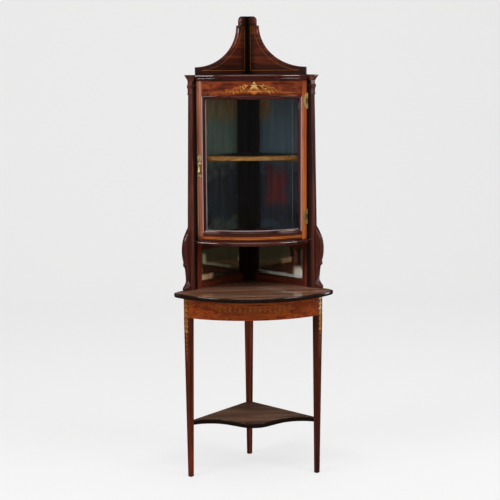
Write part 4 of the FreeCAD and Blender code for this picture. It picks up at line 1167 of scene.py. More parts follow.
# ---------------------------------------------------------------- posts and brackets
@dataclass
class Posts:
    """The reeded posts with their carved capitals, and the scrolled brackets at their feet."""

    inner: float = POST_INNER
    head_reach: float = POST_REACH
    splay: float = 0.019
    depth: float = 0.026
    foot_z: float = TABLE_Z
    capital_z: float = 1.562
    head_z: float = CASE_HEAD_Z
    reeds: int = 4
    reed_margin: float = 0.0015
    reed_depth: float = 0.002
    bracket_height: float = 0.254
    bracket_inset: float = 0.002
    bracket_thickness: float = 0.018

    def face(self, z: Array | float) -> Array:
        """The outer face of a post at each height: it splays evenly from the capital to the table."""
        share = np.clip((self.capital_z - z) / (self.capital_z - self.foot_z), 0.0, 1.0)
        return self.head_reach + self.splay * share

    def shaft(self, side: Side) -> Skin:
        """The post: its face is reeded with half ellipses, s = root + depth sqrt(1 - w squared)."""
        pitch = (self.depth - 2.0 * self.reed_margin) / self.reeds
        w = np.linspace(-1.0, 1.0, 9)[None, :]
        o = (self.reed_margin + pitch * (np.arange(self.reeds)[:, None] + 0.5 + 0.5 * w)).ravel()
        swell = (self.reed_depth * (np.sqrt(1.0 - w ** 2) - 1.0) + np.zeros((self.reeds, 1))).ravel()
        deep, ease = -self.reed_depth, 0.0004
        swell = np.concatenate([swell, [deep, deep - ease]])
        o = np.concatenate([o, [self.depth - ease, self.depth]])
        z = np.array([self.foot_z, self.capital_z + 0.001])[:, None]
        s = self.face(z) + swell[None]
        s = np.concatenate([s, np.full((2, 2), self.inner), self.face(z) + deep], axis=1)
        o = np.concatenate([o, [self.depth, 0.0, 0.0]])
        return Skin.tube(wall_point(side, s, o[None], z))

    def capital(self, side: Side) -> Skin:
        """The capital: an astragal, a neck of leaves and a roll, each a swell g(z) cut by |cos| scallops."""
        marks, swell, cut = np.array([
            (0.0, 0.2, 0.0), (2.0, 1.8, 0.0), (4.0, 2.5, 0.0), (6.0, 1.8, 0.0), (8.0, 0.4, 0.0),
            (10.0, 0.2, 0.1), (16.0, 0.4, 0.6), (23.0, 0.5, 1.0), (26.0, 0.6, 0.6), (28.0, 2.6, 0.5),
            (31.0, 4.1, 1.0), (34.0, 4.5, 1.2), (37.5, 4.1, 1.0), (40.5, 2.4, 0.4), (42.0, 0.5, 0.0),
            (48.0, 0.2, 0.1), (56.0, 0.4, 0.0)]).T * np.array([[0.001], [0.001], [0.0011]])
        h = np.linspace(0.0, self.head_z - self.capital_z, 81)
        grow, carve = np.interp(h, marks, swell), np.interp(h, marks, cut)
        t = np.linspace(0.0, 1.0, 81)
        ring = np.concatenate([pairs(t, 1.0), pairs(1.0, t[::-1])[1:]])
        front, flank = np.abs(np.cos(FULL * t)), np.abs(np.cos(3.0 * math.pi * t[::-1]))
        scallop = np.concatenate([front, flank[1:]])
        bulge = grow[:, None] - carve[:, None] * (1.0 - scallop[None])
        s = self.inner + (self.head_reach - self.inner + bulge) * ring[None, :, 0]
        o = (self.depth + bulge) * ring[None, :, 1]
        s = np.concatenate([s, np.full((len(h), 1), self.inner)], axis=1)
        o = np.concatenate([o, np.zeros((len(h), 1))], axis=1)
        return Skin.tube(wall_point(side, s, o, (self.capital_z + h)[:, None]))

    def outer_line(self, h: Array) -> Array:
        """How far a bracket reaches beyond the head of the post: arcs for the leaf, knuckle and foot.

        Returns:
            The reach at each height.
        """
        runs = (
            arc_through((self.head_mark, 1000.0 * self.bracket_height), (27.5, 233.5), (41.0, 210.0), 24),
            arc_through((41.0, 210.0), (49.0, 174.0), (42.0, 118.0), 30),
            arc_through((42.0, 111.0), (43.5, 104.5), (42.8, 100.0), 7),
            arc_through((34.0, 91.0), (30.0, 62.0), (28.3, 36.0), 24),
            arc_through((28.3, 36.0), (35.5, 23.5), (45.5, 13.0), 12),
            arc_through((45.5, 13.0), (47.8, 6.5), (45.0, 0.0), 9),
        )
        line = np.concatenate(runs)[::-1] * 0.001
        return np.interp(h, line[:, 1], line[:, 0])

    @property
    def head_mark(self) -> float:
        """Where the bracket leaves the post, in millimetres beyond the head of the post."""
        return 1000.0 * (float(self.face(self.foot_z + self.bracket_height)) - self.head_reach)

    def bracket(self, side: Side) -> Skin:
        """The carved bracket: its faces sink towards a rounded edge, past grooves and leaf veins.

        At share t from the outer line to the post the face stands back by the edge round,
        4.5 mm (1 - sqrt(1 - (1 - t / 0.3) squared)), and by the carving: grooves that fall off as
        exp(-x squared) from a line along the edge, and veins as |sin| to the 1.5. Rings of height
        run from the table to the tip of the leaf.
        """
        h = np.concatenate([np.linspace(0.0, 0.0895, 70), np.linspace(0.091, 0.100, 9),
                            np.linspace(0.1012, 0.118, 16), np.linspace(0.1192, 0.2539, 100)])
        root = self.face(self.foot_z + h) - self.head_reach - 0.001
        reach = np.maximum(self.outer_line(h) - root, 0.0003)
        edge_share, edge_round, deepest = 0.3, 0.0045, 0.008
        t = np.concatenate([np.linspace(0.0, edge_share, 9), np.linspace(0.34, 1.0, 15)])[None, :]
        inward = t * reach[:, None]
        s = self.head_reach + root[:, None] + (1.0 - t) * reach[:, None]
        near_edge = np.clip(1.0 - t / edge_share, 0.0, 1.0)
        rounding = edge_round * (1.0 - np.sqrt(1.0 - near_edge ** 2)) + 0.0 * s
        rows = h[:, None]
        groove = 0.0011 * np.exp(-((inward - 0.0085) / 0.0011) ** 2)
        groove = groove + 0.0009 * np.exp(-((inward - 0.013) / 0.001) ** 2)
        leafy = np.clip((rows - 0.150) / 0.05, 0.0, 1.0) * np.clip((0.250 - rows) / 0.02, 0.0, 1.0)
        veins = 0.0013 * leafy * np.abs(np.sin((rows + 1.6 * inward) * 260.0)) ** 1.5
        scroll = np.clip((0.05 - rows) / 0.02, 0.0, 1.0)
        veins = veins + 0.0012 * scroll * np.abs(np.sin((rows - 1.2 * inward) * 300.0)) ** 1.5
        fade = np.clip(reach[:, None] / 0.006, 0.0, 1.0)
        depth = np.minimum((rounding + groove * (1.0 - leafy)) * fade + veins * fade, deepest)
        low = self.bracket_inset + depth * 0.1
        high = self.bracket_inset + self.bracket_thickness - depth
        z = self.foot_z + rows
        return Skin.plate(wall_point(side, s, high, z), wall_point(side, s, low, z))

    def build(self) -> None:
        """Builds and hangs the posts, capitals and brackets."""
        for number, side in enumerate(Side):
            # Painted shade: the post's face beside the door is darkened almost to black.
            painted_inner_shade = Shade(Axis.OFF_MIDDLE, 0.2345, 0.2375, linear(26, 14, 10))
            dark = POSTWOOD.dress(Grain.UPRIGHT, number, (painted_inner_shade,))
            post = Piece.of(f"post_{side.word}", dark, Slot.DARK_ROSEWOOD, crease=CARVED)
            post.build(Skin.joined([self.shaft(side), self.capital(side)]))
            red = BRACKETWOOD.dress(Grain.UPRIGHT, 6 + number)
            bracket = Piece.of(f"bracket_{side.word}", red, Slot.DARK_ROSEWOOD, crease=CARVED)
            bracket.build(self.bracket(side))


# ---------------------------------------------------------------- case
@dataclass
class Case:
    """The floor, mouldings, top, gallery and shelf of the glazed case."""

    bow_radius: float = BOW_RADIUS
    floor_z: float = 0.963
    case_z: float = 0.981
    cornice_z: float = CASE_HEAD_Z
    top_z: float = 1.641
    base_projection: float = 0.012
    base_end_offset: float = 0.023
    base_end_round: float = 0.011
    cornice_back: float = 0.396
    cornice_front: float = 0.414
    cornice_step: float = 0.005
    cornice_foot: float = 0.404
    cornice_offset: float = 0.029
    post_inner: float = POST_INNER
    post_reach: float = POST_REACH
    cap_fillet: float = 0.0185
    gallery_thickness: float = 0.016
    gallery_height: float = 0.236
    gallery_reach: float = 0.317
    gallery_end: float = 0.030
    gallery_shoulder: float = 0.0675
    gallery_drop: float = 0.038
    gallery_lobe: float = 0.056
    gallery_round: float = 0.021
    shelf_z: float = 1.303
    shelf_thickness: float = 0.017
    edging_front: float = 0.365
    edging_back: float = 0.362
    shelf_offset: float = 0.021

    def base_moulding(self) -> Skin:
        """The nosing: a half round of the floor's thickness, its ends rounded in plan.

        Profile points are r = inner + 9 mm cos t, z = middle + 9 mm sin t. An end stands
        off the wall by the offset plus R - sqrt(R squared - (r - r0) squared).
        """
        half = (self.case_z - self.floor_z) / 2.0
        t = np.linspace(-QUARTER, QUARTER, 15)
        r = self.bow_radius + self.base_projection - half + half * np.cos(t)
        z = self.floor_z + half + half * np.sin(t)
        back = self.bow_radius - 0.001
        profile = np.concatenate([pairs(r, z), [[back, self.case_z], [back, self.floor_z]]])
        past = np.clip(profile[:, 0] - self.bow_radius - 0.0012, 0.0, 0.0107)
        offset = self.base_end_offset + self.base_end_round - np.sqrt(self.base_end_round ** 2 - past ** 2)
        return Skin.tube(FRONT.between_walls(profile, offset, 97))

    def cornice(self) -> Skin:
        """The cornice, cut off parallel to the walls: a bead, a groove, a lower bead and a hollow foot.

        A bead's points are r = front - deep + deep cos t, z = middle + half sin t.
        """
        t = np.linspace(QUARTER, -QUARTER, 13)
        beads = []
        for front, deep, middle, half in ((self.cornice_front, 0.004, self.top_z - 0.0058, 0.0058),
                                          (self.cornice_front - self.cornice_step, 0.003, 1.6261, 0.0030)):
            beads.append(pairs(front - deep + deep * np.cos(t), middle + half * np.sin(t)))
        w = np.linspace(0.0, QUARTER, 6)
        hollow = pairs(self.cornice_foot + 0.0012 * (1.0 - np.sin(w)),
                       1.6228 - 0.0048 * (1.0 - np.cos(w)) ** 0.9)
        back = np.array([[self.cornice_back, self.cornice_z], [self.cornice_back, self.top_z]])
        return Skin.tube(FRONT.between_walls(np.concatenate([*beads, hollow, back]), self.cornice_offset, 97))

    def cornice_end(self, side: Side) -> Skin:
        """The cap over a post: it flares over a deep hollow, fluted like a leaf, under a square fillet.

        The face stands at flare(z) - cut(z) (1 - |cos 4 pi t|), t from the wall to the front.
        """
        marks = np.array([0.0, 0.002, 0.006, 0.010, 0.013, 0.0160, 0.0185, 0.0186, 0.0226, 0.023])
        flare = np.array([0.4, 1.7, 4.6, 7.8, 10.4, 13.4, 16.2, 17.0, 17.5, 17.1]) * 0.001
        carve = np.array([0.0, 0.3, 1.0, 1.3, 1.3, 1.0, 0.2, 0.0, 0.0, 0.0]) * 0.0012
        h = np.concatenate([np.linspace(0.0, self.cap_fillet, 20), [0.0187, 0.0205, 0.0224, 0.023]])
        grow, cut = np.interp(h, marks, flare), np.interp(h, marks, carve)
        t = np.linspace(0.0, 1.0, 49)
        flutes = 1.0 - np.abs(np.cos(4.0 * math.pi * t))
        o_front = self.cornice_offset - 0.0004 - 0.0022 * np.clip(1.0 - h / self.cap_fillet, 0.0, 1.0)
        s_edge = self.post_reach + grow[:, None] - cut[:, None] * flutes[None]
        o_edge = o_front[:, None] * t[None]
        s = np.concatenate([s_edge, np.full((len(h), 2), self.post_inner)], axis=1)
        o = np.concatenate([o_edge, o_front[:, None], np.zeros((len(h), 1))], axis=1)
        return Skin.tube(wall_point(side, s, o, (self.cornice_z + h)[:, None]))

    def gallery_outline(self) -> tuple[Array, Array]:
        """One gallery board's outline and its outward normals, from the foot of the corner.

        The sweep is s = reach - a cos t, z = shoulder - b sin t, with the normal (b cos t, a sin t).

        Returns:
            Points and normals, (points, 2) each. The first and last points lie in the corner.
        """
        z1 = self.top_z + self.gallery_height
        shoulder_z = z1 - self.gallery_drop
        end_z = self.top_z + self.gallery_end
        a, b = self.gallery_reach - self.gallery_shoulder, shoulder_z - end_z
        t = np.linspace(QUARTER, 0.0, 49)
        sweep = pairs(self.gallery_reach - a * np.cos(t), shoulder_z - b * np.sin(t))
        w = np.linspace(0.0, QUARTER, 11)
        lobe = pairs(self.gallery_lobe - self.gallery_round * (1.0 - np.cos(w)),
                     z1 - self.gallery_round * (1.0 - np.sin(w)))
        foot = [[0.0, self.top_z], [self.gallery_reach, self.top_z], [self.gallery_reach, end_z - 0.0005]]
        shoulder = [[self.gallery_lobe + 0.0004, shoulder_z], [self.gallery_lobe, shoulder_z + 0.0004]]
        line = np.concatenate([foot, sweep, shoulder, lobe, [[0.0, z1]]])
        foot_n, shoulder_n = [[0.0, 0.0], [1.0, 0.0], [1.0, 0.2]], [[0.3, 1.0], [1.0, 0.3]]
        sweep_n = pairs(b * np.cos(t), a * np.sin(t))
        normals = np.concatenate([foot_n, sweep_n, shoulder_n, circle(w), [[0.0, 1.0]]])
        size = np.linalg.norm(normals, axis=1, keepdims=True)
        return line, normals / np.maximum(size, 1e-9)

    def gallery(self, side: Side) -> Skin:
        """A gallery board with eased edges, mitred to the other board in the room corner."""
        line, normals = self.gallery_outline()
        thick = self.gallery_thickness
        outs = np.array([0.0, 0.001, thick - 0.0012, thick - 0.0004, thick])
        inset = np.array([0.001, 0.0, 0.0, 0.0004, 0.0012])
        plan = line[None] - normals[None] * inset[:, None, None]
        in_corner = np.isclose(line[:, 0], 0.0)[None]
        s = np.where(in_corner, outs[:, None], plan[..., 0])
        return Skin.tube(wall_point(side, s, outs[:, None], plan[..., 1]))

    def gallery_stringing(self, side: Side) -> Skin:
        """The light line let into a gallery board, about 16 mm inside its outline, and three dots."""
        inlay = Inlay(wall_carrier(side, self.gallery_thickness))
        width, near = 0.0009, 0.033
        shoulder_z = self.top_z + self.gallery_height - self.gallery_drop
        low, high = self.top_z + 0.016, shoulder_z - 0.005
        t = np.linspace(0.03, QUARTER - 0.10, 60)
        a, b = self.gallery_reach - self.gallery_shoulder + 0.015, shoulder_z - low
        curve = pairs(self.gallery_reach - a * np.cos(t), shoulder_z - b * np.sin(t))
        inlay.ribbon(curve, width / 2.0)
        inlay.line(((near, low), (near, high), tuple(curve[0])), width)
        inlay.line(((near, low), tuple(curve[-1])), width)
        for k in range(3):
            inlay.dot((near + 0.011, high - 0.010 - 0.008 * k), 0.0016)
        return inlay.skin()

    def shelf_edging(self) -> Skin:
        """The shelf's front edge, a thin eased strip bent to the bow."""
        head = (self.edging_front, self.shelf_z + self.shelf_thickness)
        profile = eased_box((self.edging_back, self.shelf_z), head, ARRIS)
        return Skin.tube(FRONT.between_walls(profile, self.shelf_offset, 65))

    def build(self) -> None:
        """Builds and hangs the case."""
        base = Piece.of("base_moulding", MOULDING.dress(Grain.ACROSS, 3), Slot.DARK_ROSEWOOD, crease=CARVED)
        base.build(self.base_moulding())
        polished = CORNICEWOOD.dress(Grain.ACROSS, 4)
        Piece("dressed_cornice", polished, Slot.DARK_ROSEWOOD, nodes=("cornice_front",)).build(self.cornice())
        leafy = CAPWOOD.dress(Grain.ACROSS, 4)
        foot = Shade(Axis.HEIGHT, 1.6410, 1.7100, linear(38, 17, 11))
        # Painted shade: the gallery boards go dark towards the room corner.
        corner = Shade(Axis.OFF_MIDDLE, 0.006, 0.036, linear(16, 9, 5))
        end = Shade(Axis.OFF_MIDDLE, 0.2130, 0.2100, linear(30, 15, 12))
        for number, side in enumerate(Side):
            along = Grain.along(side)
            cap = Piece.of(f"cornice_end_{side.word}", leafy, Slot.DARK_ROSEWOOD, crease=CARVED)
            cap.build(self.cornice_end(side))
            veneer = GALLERY.dress(along, 20 + number, (foot, corner, end))
            Piece.of(f"gallery_{side.word}", veneer, Slot.ROSEWOOD).build(self.gallery(side))
            line = Piece(f"gallery_stringing_{side.word}", TULIPWOOD.dress(along, 4), Slot.BOXWOOD)
            line.build(self.gallery_stringing(side))
        edge = Piece.of("shelf_edging", SHELF_EDGE.dress(Grain.ACROSS, 2), Slot.BOXWOOD)
        edge.build(self.shelf_edging())
        paint(("cabinet_floor", "shelf", "cabinet_top"), INSIDE.dress(Grain.ACROSS, 14))
        paint(("shelf_battens",), PINE.dress(Grain.ACROSS, 4))
        unlit = Shade(Axis.OFF_MIDDLE, 0.0, 9.0, linear(10, 6, 4))
        paint(("door_stop", "jamb_left", "jamb_right"), INSIDE.dress(Grain.UPRIGHT, 15, (unlit,)))


# ---------------------------------------------------------------- door
@dataclass
class Door:
    """The bowed and glazed door, its mouldings and its marquetry.

    The designs of the marquetry are drawn on the door's front: u along the arc, z up.
    """

    bow_radius: float = BOW_RADIUS
    back_radius: float = 0.380
    lip_radius: float = 0.386
    glass_radius: float = 0.389
    foot_z: float = 0.982
    head_z: float = 1.617
    opening_foot: float = 1.012
    opening_head: float = 1.5585
    opening_angle: float = DOOR_EDGE_ANGLE - 0.0235 / BOW_RADIUS
    lap: float = 0.008
    bead_width: float = 0.014
    bead_proud: float = 0.0015
    bead_lip: float = 0.0025
    glass_gap: float = 0.001
    motif_middle: float = 0.0045
    shell_z: float = 1.5805
    stringing_z: float = 1.5712
    band_zs: tuple[float, float] = (0.9925, 0.9975)
    line_end: float = 0.2060

    def rail(self, z0: float, z1: float, lip0: float, lip1: float) -> Skin:
        """A bowed rail, an eased rectangle, with the thinner lip that holds the glass from behind.

        Args:
            z0: The rail's foot.
            z1: The rail's head.
            lip0: The lip's foot.
            lip1: The lip's head.
        """
        board = eased_box((self.back_radius, z0), (self.bow_radius, z1), 0.0006)
        lip = eased_box((self.back_radius, lip0), (self.lip_radius, lip1), 0.0004)
        lap_angle = self.opening_angle - self.lap / self.lip_radius
        runs = ((board, self.opening_angle), (lip, lap_angle))
        return Skin.joined([Skin.tube(FRONT.sweep(profile, angle, 65)) for profile, angle in runs])

    def bead_section(self) -> tuple[Array, Array]:
        """The glazing bead's section: a small bead, a quirk and an ovolo down to the glass.

        The ovolo goes in by (width - start) sin w while it falls by its height times 1 - cos w.

        Returns:
            How far in from the opening's edge and how far out from the bow's axis each point lies.
        """
        front = self.bow_radius + self.bead_proud
        inner = self.glass_radius + self.bead_lip
        t = np.linspace(math.pi, 0.0, 9)
        bead_in, bead_r = 0.0024 + 0.0024 * np.cos(t), front - 0.0015 + 0.0015 * np.sin(t)
        w = np.linspace(0.0, QUARTER, 10)
        start = 0.0056
        ovolo_in = start + (self.bead_width - start) * np.sin(w)
        ovolo_r = inner + (front - 0.0016 - inner) * np.cos(w)
        inward = np.concatenate([[0.0], bead_in, ovolo_in, [self.bead_width]])
        radius = np.concatenate([[self.glass_radius], bead_r, ovolo_r, [self.glass_radius]])
        return inward, radius

    def rail_bead(self, edge: float, way: float) -> Skin:
        """A bead along a rail, mitred: a point d inside the edge ends d short of the side of the opening.

        Args:
            edge: The height of the opening's edge.
            way: One where the bead lies above the edge, minus one where it lies below.
        """
        inward, radius = self.bead_section()
        profile = pairs(radius, edge + way * inward)
        return Skin.tube(FRONT.sweep(profile, self.opening_angle - inward / self.bow_radius, 65))

    def side_bead(self, side: Side) -> Skin:
        """An upright bead, mitred: a point d inside the edge runs from foot + d to head - d."""
        inward, radius = self.bead_section()
        angle = side.value * (self.opening_angle - inward / self.bow_radius)
        u = np.linspace(0.0, 1.0, 9)[:, None]
        z = (self.opening_foot + inward) * (1.0 - u) + (self.opening_head - inward) * u
        return Skin.tube(FRONT.point(radius[None], angle[None], z))

    def glass(self) -> Skin:
        """The bent pane, a thin eased rectangle carried round the bow."""
        foot = (self.lip_radius, self.opening_foot + self.glass_gap)
        head = (self.glass_radius, self.opening_head - self.glass_gap)
        angle = self.opening_angle - self.glass_gap / self.glass_radius
        return Skin.tube(FRONT.sweep(eased_box(foot, head, 0.0003), angle, 97))

    def shell_motif(self, inlay: Inlay) -> None:
        """The arched shell in the middle of the top rail, with its bud and crest."""
        m, z = self.motif_middle, self.shell_z
        t = np.linspace(0.0, math.pi, 30)
        outer = pairs(m + 0.0150 * np.cos(t), z + 0.0135 * np.sin(t))
        inlay.ribbon(outer, 0.0015 + 0.0006 * np.sin(t))
        inlay.ribbon(pairs(m + 0.0095 * np.cos(t), z + 0.0080 * np.sin(t)), 0.0007)
        inlay.leaf((m, 1.6040), (m, 1.6150), 0.0052)
        inlay.leaf((m - 0.0055, 1.5995), (m + 0.0055, 1.5995), 0.0036)
        for way in WAYS:
            inlay.dot((m + way * 0.0045, 1.6050), 0.0016)
            inlay.scroll((m + way * 0.0150, z), 0.0042, way * 1.1, 0.0 if way < 0 else math.pi, 0.0018)
            inlay.leaf((m + way * 0.0030, 1.5960), (m + way * 0.0135, 1.5990), 0.0034, way * 0.0012)

    def shell_fan(self, inlay: Inlay) -> None:
        """The ribs of the shell, a fan of nine leaves below its arch."""
        m, z = self.motif_middle, self.shell_z - 0.0005
        for k in range(9):
            turn = math.radians(200.0 + 17.5 * k)
            foot = (m + 0.003 * math.cos(turn), z + 0.002 * math.sin(turn))
            inlay.leaf(foot, (m + 0.0165 * math.cos(turn), z + 0.0168 * math.sin(turn)), 0.0040)
        inlay.dot((m, self.shell_z + 0.0010), 0.0032)

    def diagonals(self, inlay: Inlay) -> None:
        """Straight pale stems that cross the sprays on both sides of the shell."""
        m = self.motif_middle
        for way, (u0, z0), (u1, z1) in ((-1.0, (0.0240, 1.6010), (0.0550, 1.5735)),
                                        (1.0, (0.0205, 1.6010), (0.0650, 1.5665))):
            inlay.line(((m + way * u0, z0), (m + way * u1, z1)), 0.0013)
            for share in (0.2, 0.5, 0.8):
                foot = (m + way * (u0 + share * (u1 - u0)), z0 + share * (z1 - z0))
                inlay.leaf(foot, (foot[0] + way * 0.0070, foot[1] + 0.0045), 0.0030, way * 0.001)

    def sprays(self, inlay: Inlay) -> None:
        """Dense golden scrolls and leaves: a long lower row and a shorter row above it."""
        m = self.motif_middle
        for way in WAYS:
            for k in range(10):
                u, size = 0.0225 + 0.0092 * k, 1.0 - 0.045 * k
                z = 1.5745 + 0.0035 * (k % 2) + 0.0022 * math.sin(0.9 * k)
                foot, flip = (m + way * u, z), (-1.0) ** k
                facing = (0.0 if k % 2 else math.pi) + 0.6 * k
                inlay.scroll(foot, 0.0046 * size, way * 1.15 * flip, facing, 0.0012)
                inlay.leaf(foot, (m + way * (u + 0.0078), z + 0.0062 * size), 0.0030 * size, way * 0.001)
                inlay.leaf(foot, (m + way * (u + 0.0070), z - 0.0050 * size), 0.0026 * size, -way * 0.001)
            for k in range(6):
                u, z = 0.0330 + 0.0088 * k, 1.5990 - 0.0030 * k + 0.0030 * (k % 2)
                foot, flip = (m + way * u, z), (-1.0) ** k
                inlay.scroll(foot, 0.0040, -way * 1.1 * flip, 0.8 * k, 0.0011)
                inlay.leaf(foot, (m + way * (u + 0.0072), z + 0.0052 * flip), 0.0028, way * 0.001)
            inlay.leaf((m + way * 0.104, 1.5740), (m + way * 0.114, 1.5725), 0.0024)

    def top_stringing(self, inlay: Inlay) -> None:
        """The light line low on the top rail, on both sides of the marquetry."""
        u = np.linspace(0.112, self.line_end, 40)
        for way in WAYS:
            inlay.ribbon(pairs(way * u, self.stringing_z), 0.0003)

    def bottom_banding(self, inlay: Inlay) -> None:
        """The golden lines of the band along the bottom rail, inlay that also stands in for a painted
        highlight.
        """
        u = np.linspace(-self.line_end, self.line_end, 90)
        for z in self.band_zs:
            inlay.ribbon(pairs(u, z), 0.0008)

    def build(self) -> None:
        """Builds and hangs the door."""
        self.build_rails()
        self.build_beads()
        Piece.of("door_glass", DoorGlass().dress(), Slot.GLASS, Body.DOOR).build(self.glass())
        face = bow_carrier(FRONT, self.bow_radius)
        for name, wood, designs in (
            ("door_marquetry_holly", HOLLY, (self.shell_motif, self.diagonals)),
            ("door_marquetry_satinwood", SATINWOOD, (self.shell_fan, self.bottom_banding)),
            ("door_marquetry_boxwood", BOXWOOD, (self.sprays, self.top_stringing)),
        ):
            inlay = Inlay(face)
            for design in designs:
                design(inlay)
            Piece(name, wood.dress(Grain.ACROSS, 7), Slot.BOXWOOD, Body.DOOR).build(inlay.skin())
        foot = Shade(Axis.HEIGHT, 0.990, 1.008, linear(88, 40, 24))
        # The left stile's pale wood is a painted sheen.
        paint(("door_stile_left",), STILEWOOD_PAINTED_SHEEN.dress(Grain.UPRIGHT, 3, (foot,)))
        head = Shade(Axis.HEIGHT, 1.618, 1.552, linear(136, 60, 34))
        paint(("door_stile_right",), HINGEWOOD.dress(Grain.UPRIGHT, 4, (head,)))

    def build_rails(self) -> None:
        """Builds and hangs the two bowed rails."""
        top = Piece.of("door_top_rail", ROSEWOOD.dress(Grain.ACROSS, 1), Slot.ROSEWOOD, Body.DOOR)
        top.build(self.rail(self.opening_head, self.head_z, self.opening_head - self.lap, self.opening_head))
        # The rail is darkened above and below its band, so its bright middle is part crossbanding and part
        # painted highlight.
        dim = linear(66, 27, 14)
        beside_band = (Shade(Axis.HEIGHT, 0.9880, 0.9900, dim), Shade(Axis.HEIGHT, 1.0030, 1.0000, dim))
        banded = ROSEWOOD.dress(Grain.ACROSS, 2, beside_band)
        bottom = Piece.of("door_bottom_rail", banded, Slot.ROSEWOOD, Body.DOOR)
        edge = self.opening_foot
        bottom.build(self.rail(self.foot_z, edge, edge, edge + self.lap))

    def build_beads(self) -> None:
        """Builds and hangs the four glazing beads, with painted highlights: pale bands along their edges."""
        # Painted highlights: pale bands along the beads' edges where they would catch the light; the right
        # bead's band is a little darker.
        painted_highlight = linear(176, 156, 158)
        low = Shade(Axis.HEIGHT, 1.0262, 1.0240, painted_highlight)
        inner = Shade(Axis.OFF_MIDDLE, 0.1840, 0.1862, painted_highlight)
        outer = Shade(Axis.OFF_MIDDLE, 0.1985, 0.1970, painted_highlight)
        right = Shade(Axis.OFF_MIDDLE, 0.1950, 0.1925, linear(150, 126, 128))
        beads = (
            ("bead_top", MOULDING.dress(Grain.ACROSS, 6), self.rail_bead(self.opening_head, -1.0)),
            ("bead_bottom", MOULDING.dress(Grain.ACROSS, 5, (low,)), self.rail_bead(self.opening_foot, 1.0)),
            ("bead_left", MOULDING.dress(Grain.UPRIGHT, 5, (inner, outer)), self.side_bead(Side.LEFT)),
            ("bead_right", MOULDING.dress(Grain.UPRIGHT, 5, (right,)), self.side_bead(Side.RIGHT)),
        )
        for node, finish, skin in beads:
            Piece.of(node, finish, Slot.DARK_ROSEWOOD, Body.DOOR, CARVED).build(skin)


# ---------------------------------------------------------------- brass and steel
@dataclass
class Fittings:
    """The hinges, handle and lock."""

    bow_radius: float = BOW_RADIUS
    plate_angle: float = -math.asin(0.2095 / BOW_RADIUS)
    plate_pin_angle: float = 0.0048 / BOW_RADIUS
    plate_thickness: float = 0.0016
    plate_foot: float = 1.239
    plate_head: float = 1.325
    pull_radius: float = 0.4076
    pull_z: float = 1.290
    hinge_heights: tuple[float, float] = (1.0735, 1.537)
    hinge_screw_steps: tuple[float, ...] = (-0.020, 0.0, 0.020)
    hinge_angle: float = DOOR_EDGE_ANGLE - 0.0058 / BOW_RADIUS

    def drop(self) -> Skin:
        """The pear-shaped drop: a turned stem that swells and closes, under a round eye.

        The eye is an ellipse, 2.1 mm + 0.85 mm cos t off the pin and 1.4 mm sin t along it, carried
        round the pin.
        """
        below = np.array([0.0, 0.002, 0.006, 0.008, 0.009, 0.012, 0.018, 0.024, 0.029, 0.0325, 0.0355, 0.0375,
                          0.038])
        radius = np.array([1.3, 1.3, 1.4, 2.3, 1.5, 1.8, 2.7, 3.9, 5.0, 5.4, 4.4, 2.2, 0.2]) * 0.001
        top = FRONT.point(self.pull_radius, self.plate_angle, self.pull_z)
        fine = np.linspace(0.0, 0.038, 60)
        pear = lathe(pairs(np.interp(fine, below, radius), fine), top, (0.0, 0.0, -1.0), 32)
        pin = np.array([math.cos(self.plate_angle), math.sin(self.plate_angle), 0.0])
        t = np.linspace(0.0, FULL, 13, endpoint=False)
        section = pairs(2.1 + 0.85 * np.cos(t), 1.4 * np.sin(t)) * 0.001
        upward = np.array([0.0, 0.0, 1.0])
        spoke = spokes(np.cross(pin, upward), upward, 32)
        rings = top + section[None, :, :1] * spoke[:, None, :] + section[None, :, 1:] * pin
        return Skin.joined([pear, Skin.tube(rings, looped=True)])

    def screw(self, radius_out: float, angle: float, z: float, size: float) -> Skin:
        """A round screw head with a slot, set on the bow: rings of a low dome, the slot sunk across it.

        Args:
            radius_out: The surface's distance from the bow's axis.
            angle: The screw's angle on the bow.
            z: Its height.
            size: The head's radius.
        """
        out = np.array([math.sin(angle), -math.cos(angle), 0.0])
        centre = FRONT.point(radius_out, angle, z)
        share = np.array([1.0, 1.0, 0.92, 0.75, 0.5, 0.25, 0.02])
        rise = np.array([-0.3, 0.12, 0.28, 0.40, 0.47, 0.50, 0.51]) * size
        skin = lathe(pairs(share * size, rise), centre, out, 24)
        tangent = np.array([math.cos(angle), math.sin(angle), 0.0])
        place = skin.corners - centre
        across, height = place @ tangent * 0.8 + place[:, 2] * 0.6, place @ out
        sink = np.where((np.abs(across) < 0.13 * size) & (height > 0.2 * size), 0.22 * size, 0.0)
        skin.corners = skin.corners - sink[:, None] * out
        return skin

    def build(self) -> None:
        """Finishes the fittings and adds their screws."""
        brass = BRASS.dress()
        paint(("handle_plate", "pull_post", "hinge_door_leaves"), brass)
        # The case leaves and pins take the darker brass: painted shade in the gap beside the post.
        paint(("hinge_case_leaves", "hinge_pins"), BRASS_PAINTED_SHADE.dress())
        paint(("lock_case", "lock_bolt"), STEEL.dress())
        Piece.of("drop_pull", brass, Slot.BRASS, Body.DROP, TURNED).build(self.drop())
        leaf = self.bow_radius + 0.0012
        screws = [self.screw(leaf, self.hinge_angle, z + step, 0.0021)
                  for z in self.hinge_heights for step in self.hinge_screw_steps]
        Piece("hinge_screws", brass, Slot.BRASS, Body.DOOR, crease=CARVED).build(Skin.joined(screws))
        plate = self.bow_radius + self.plate_thickness
        pins = [self.screw(plate, self.plate_angle + way * self.plate_pin_angle, z, size)
                for z, size in ((self.plate_foot + 0.0045, 0.0014), (self.plate_head - 0.0135, 0.0013))
                for way in WAYS]
        Piece("plate_pins", brass, Slot.BRASS, Body.DOOR, crease=CARVED).build(Skin.joined(pins))


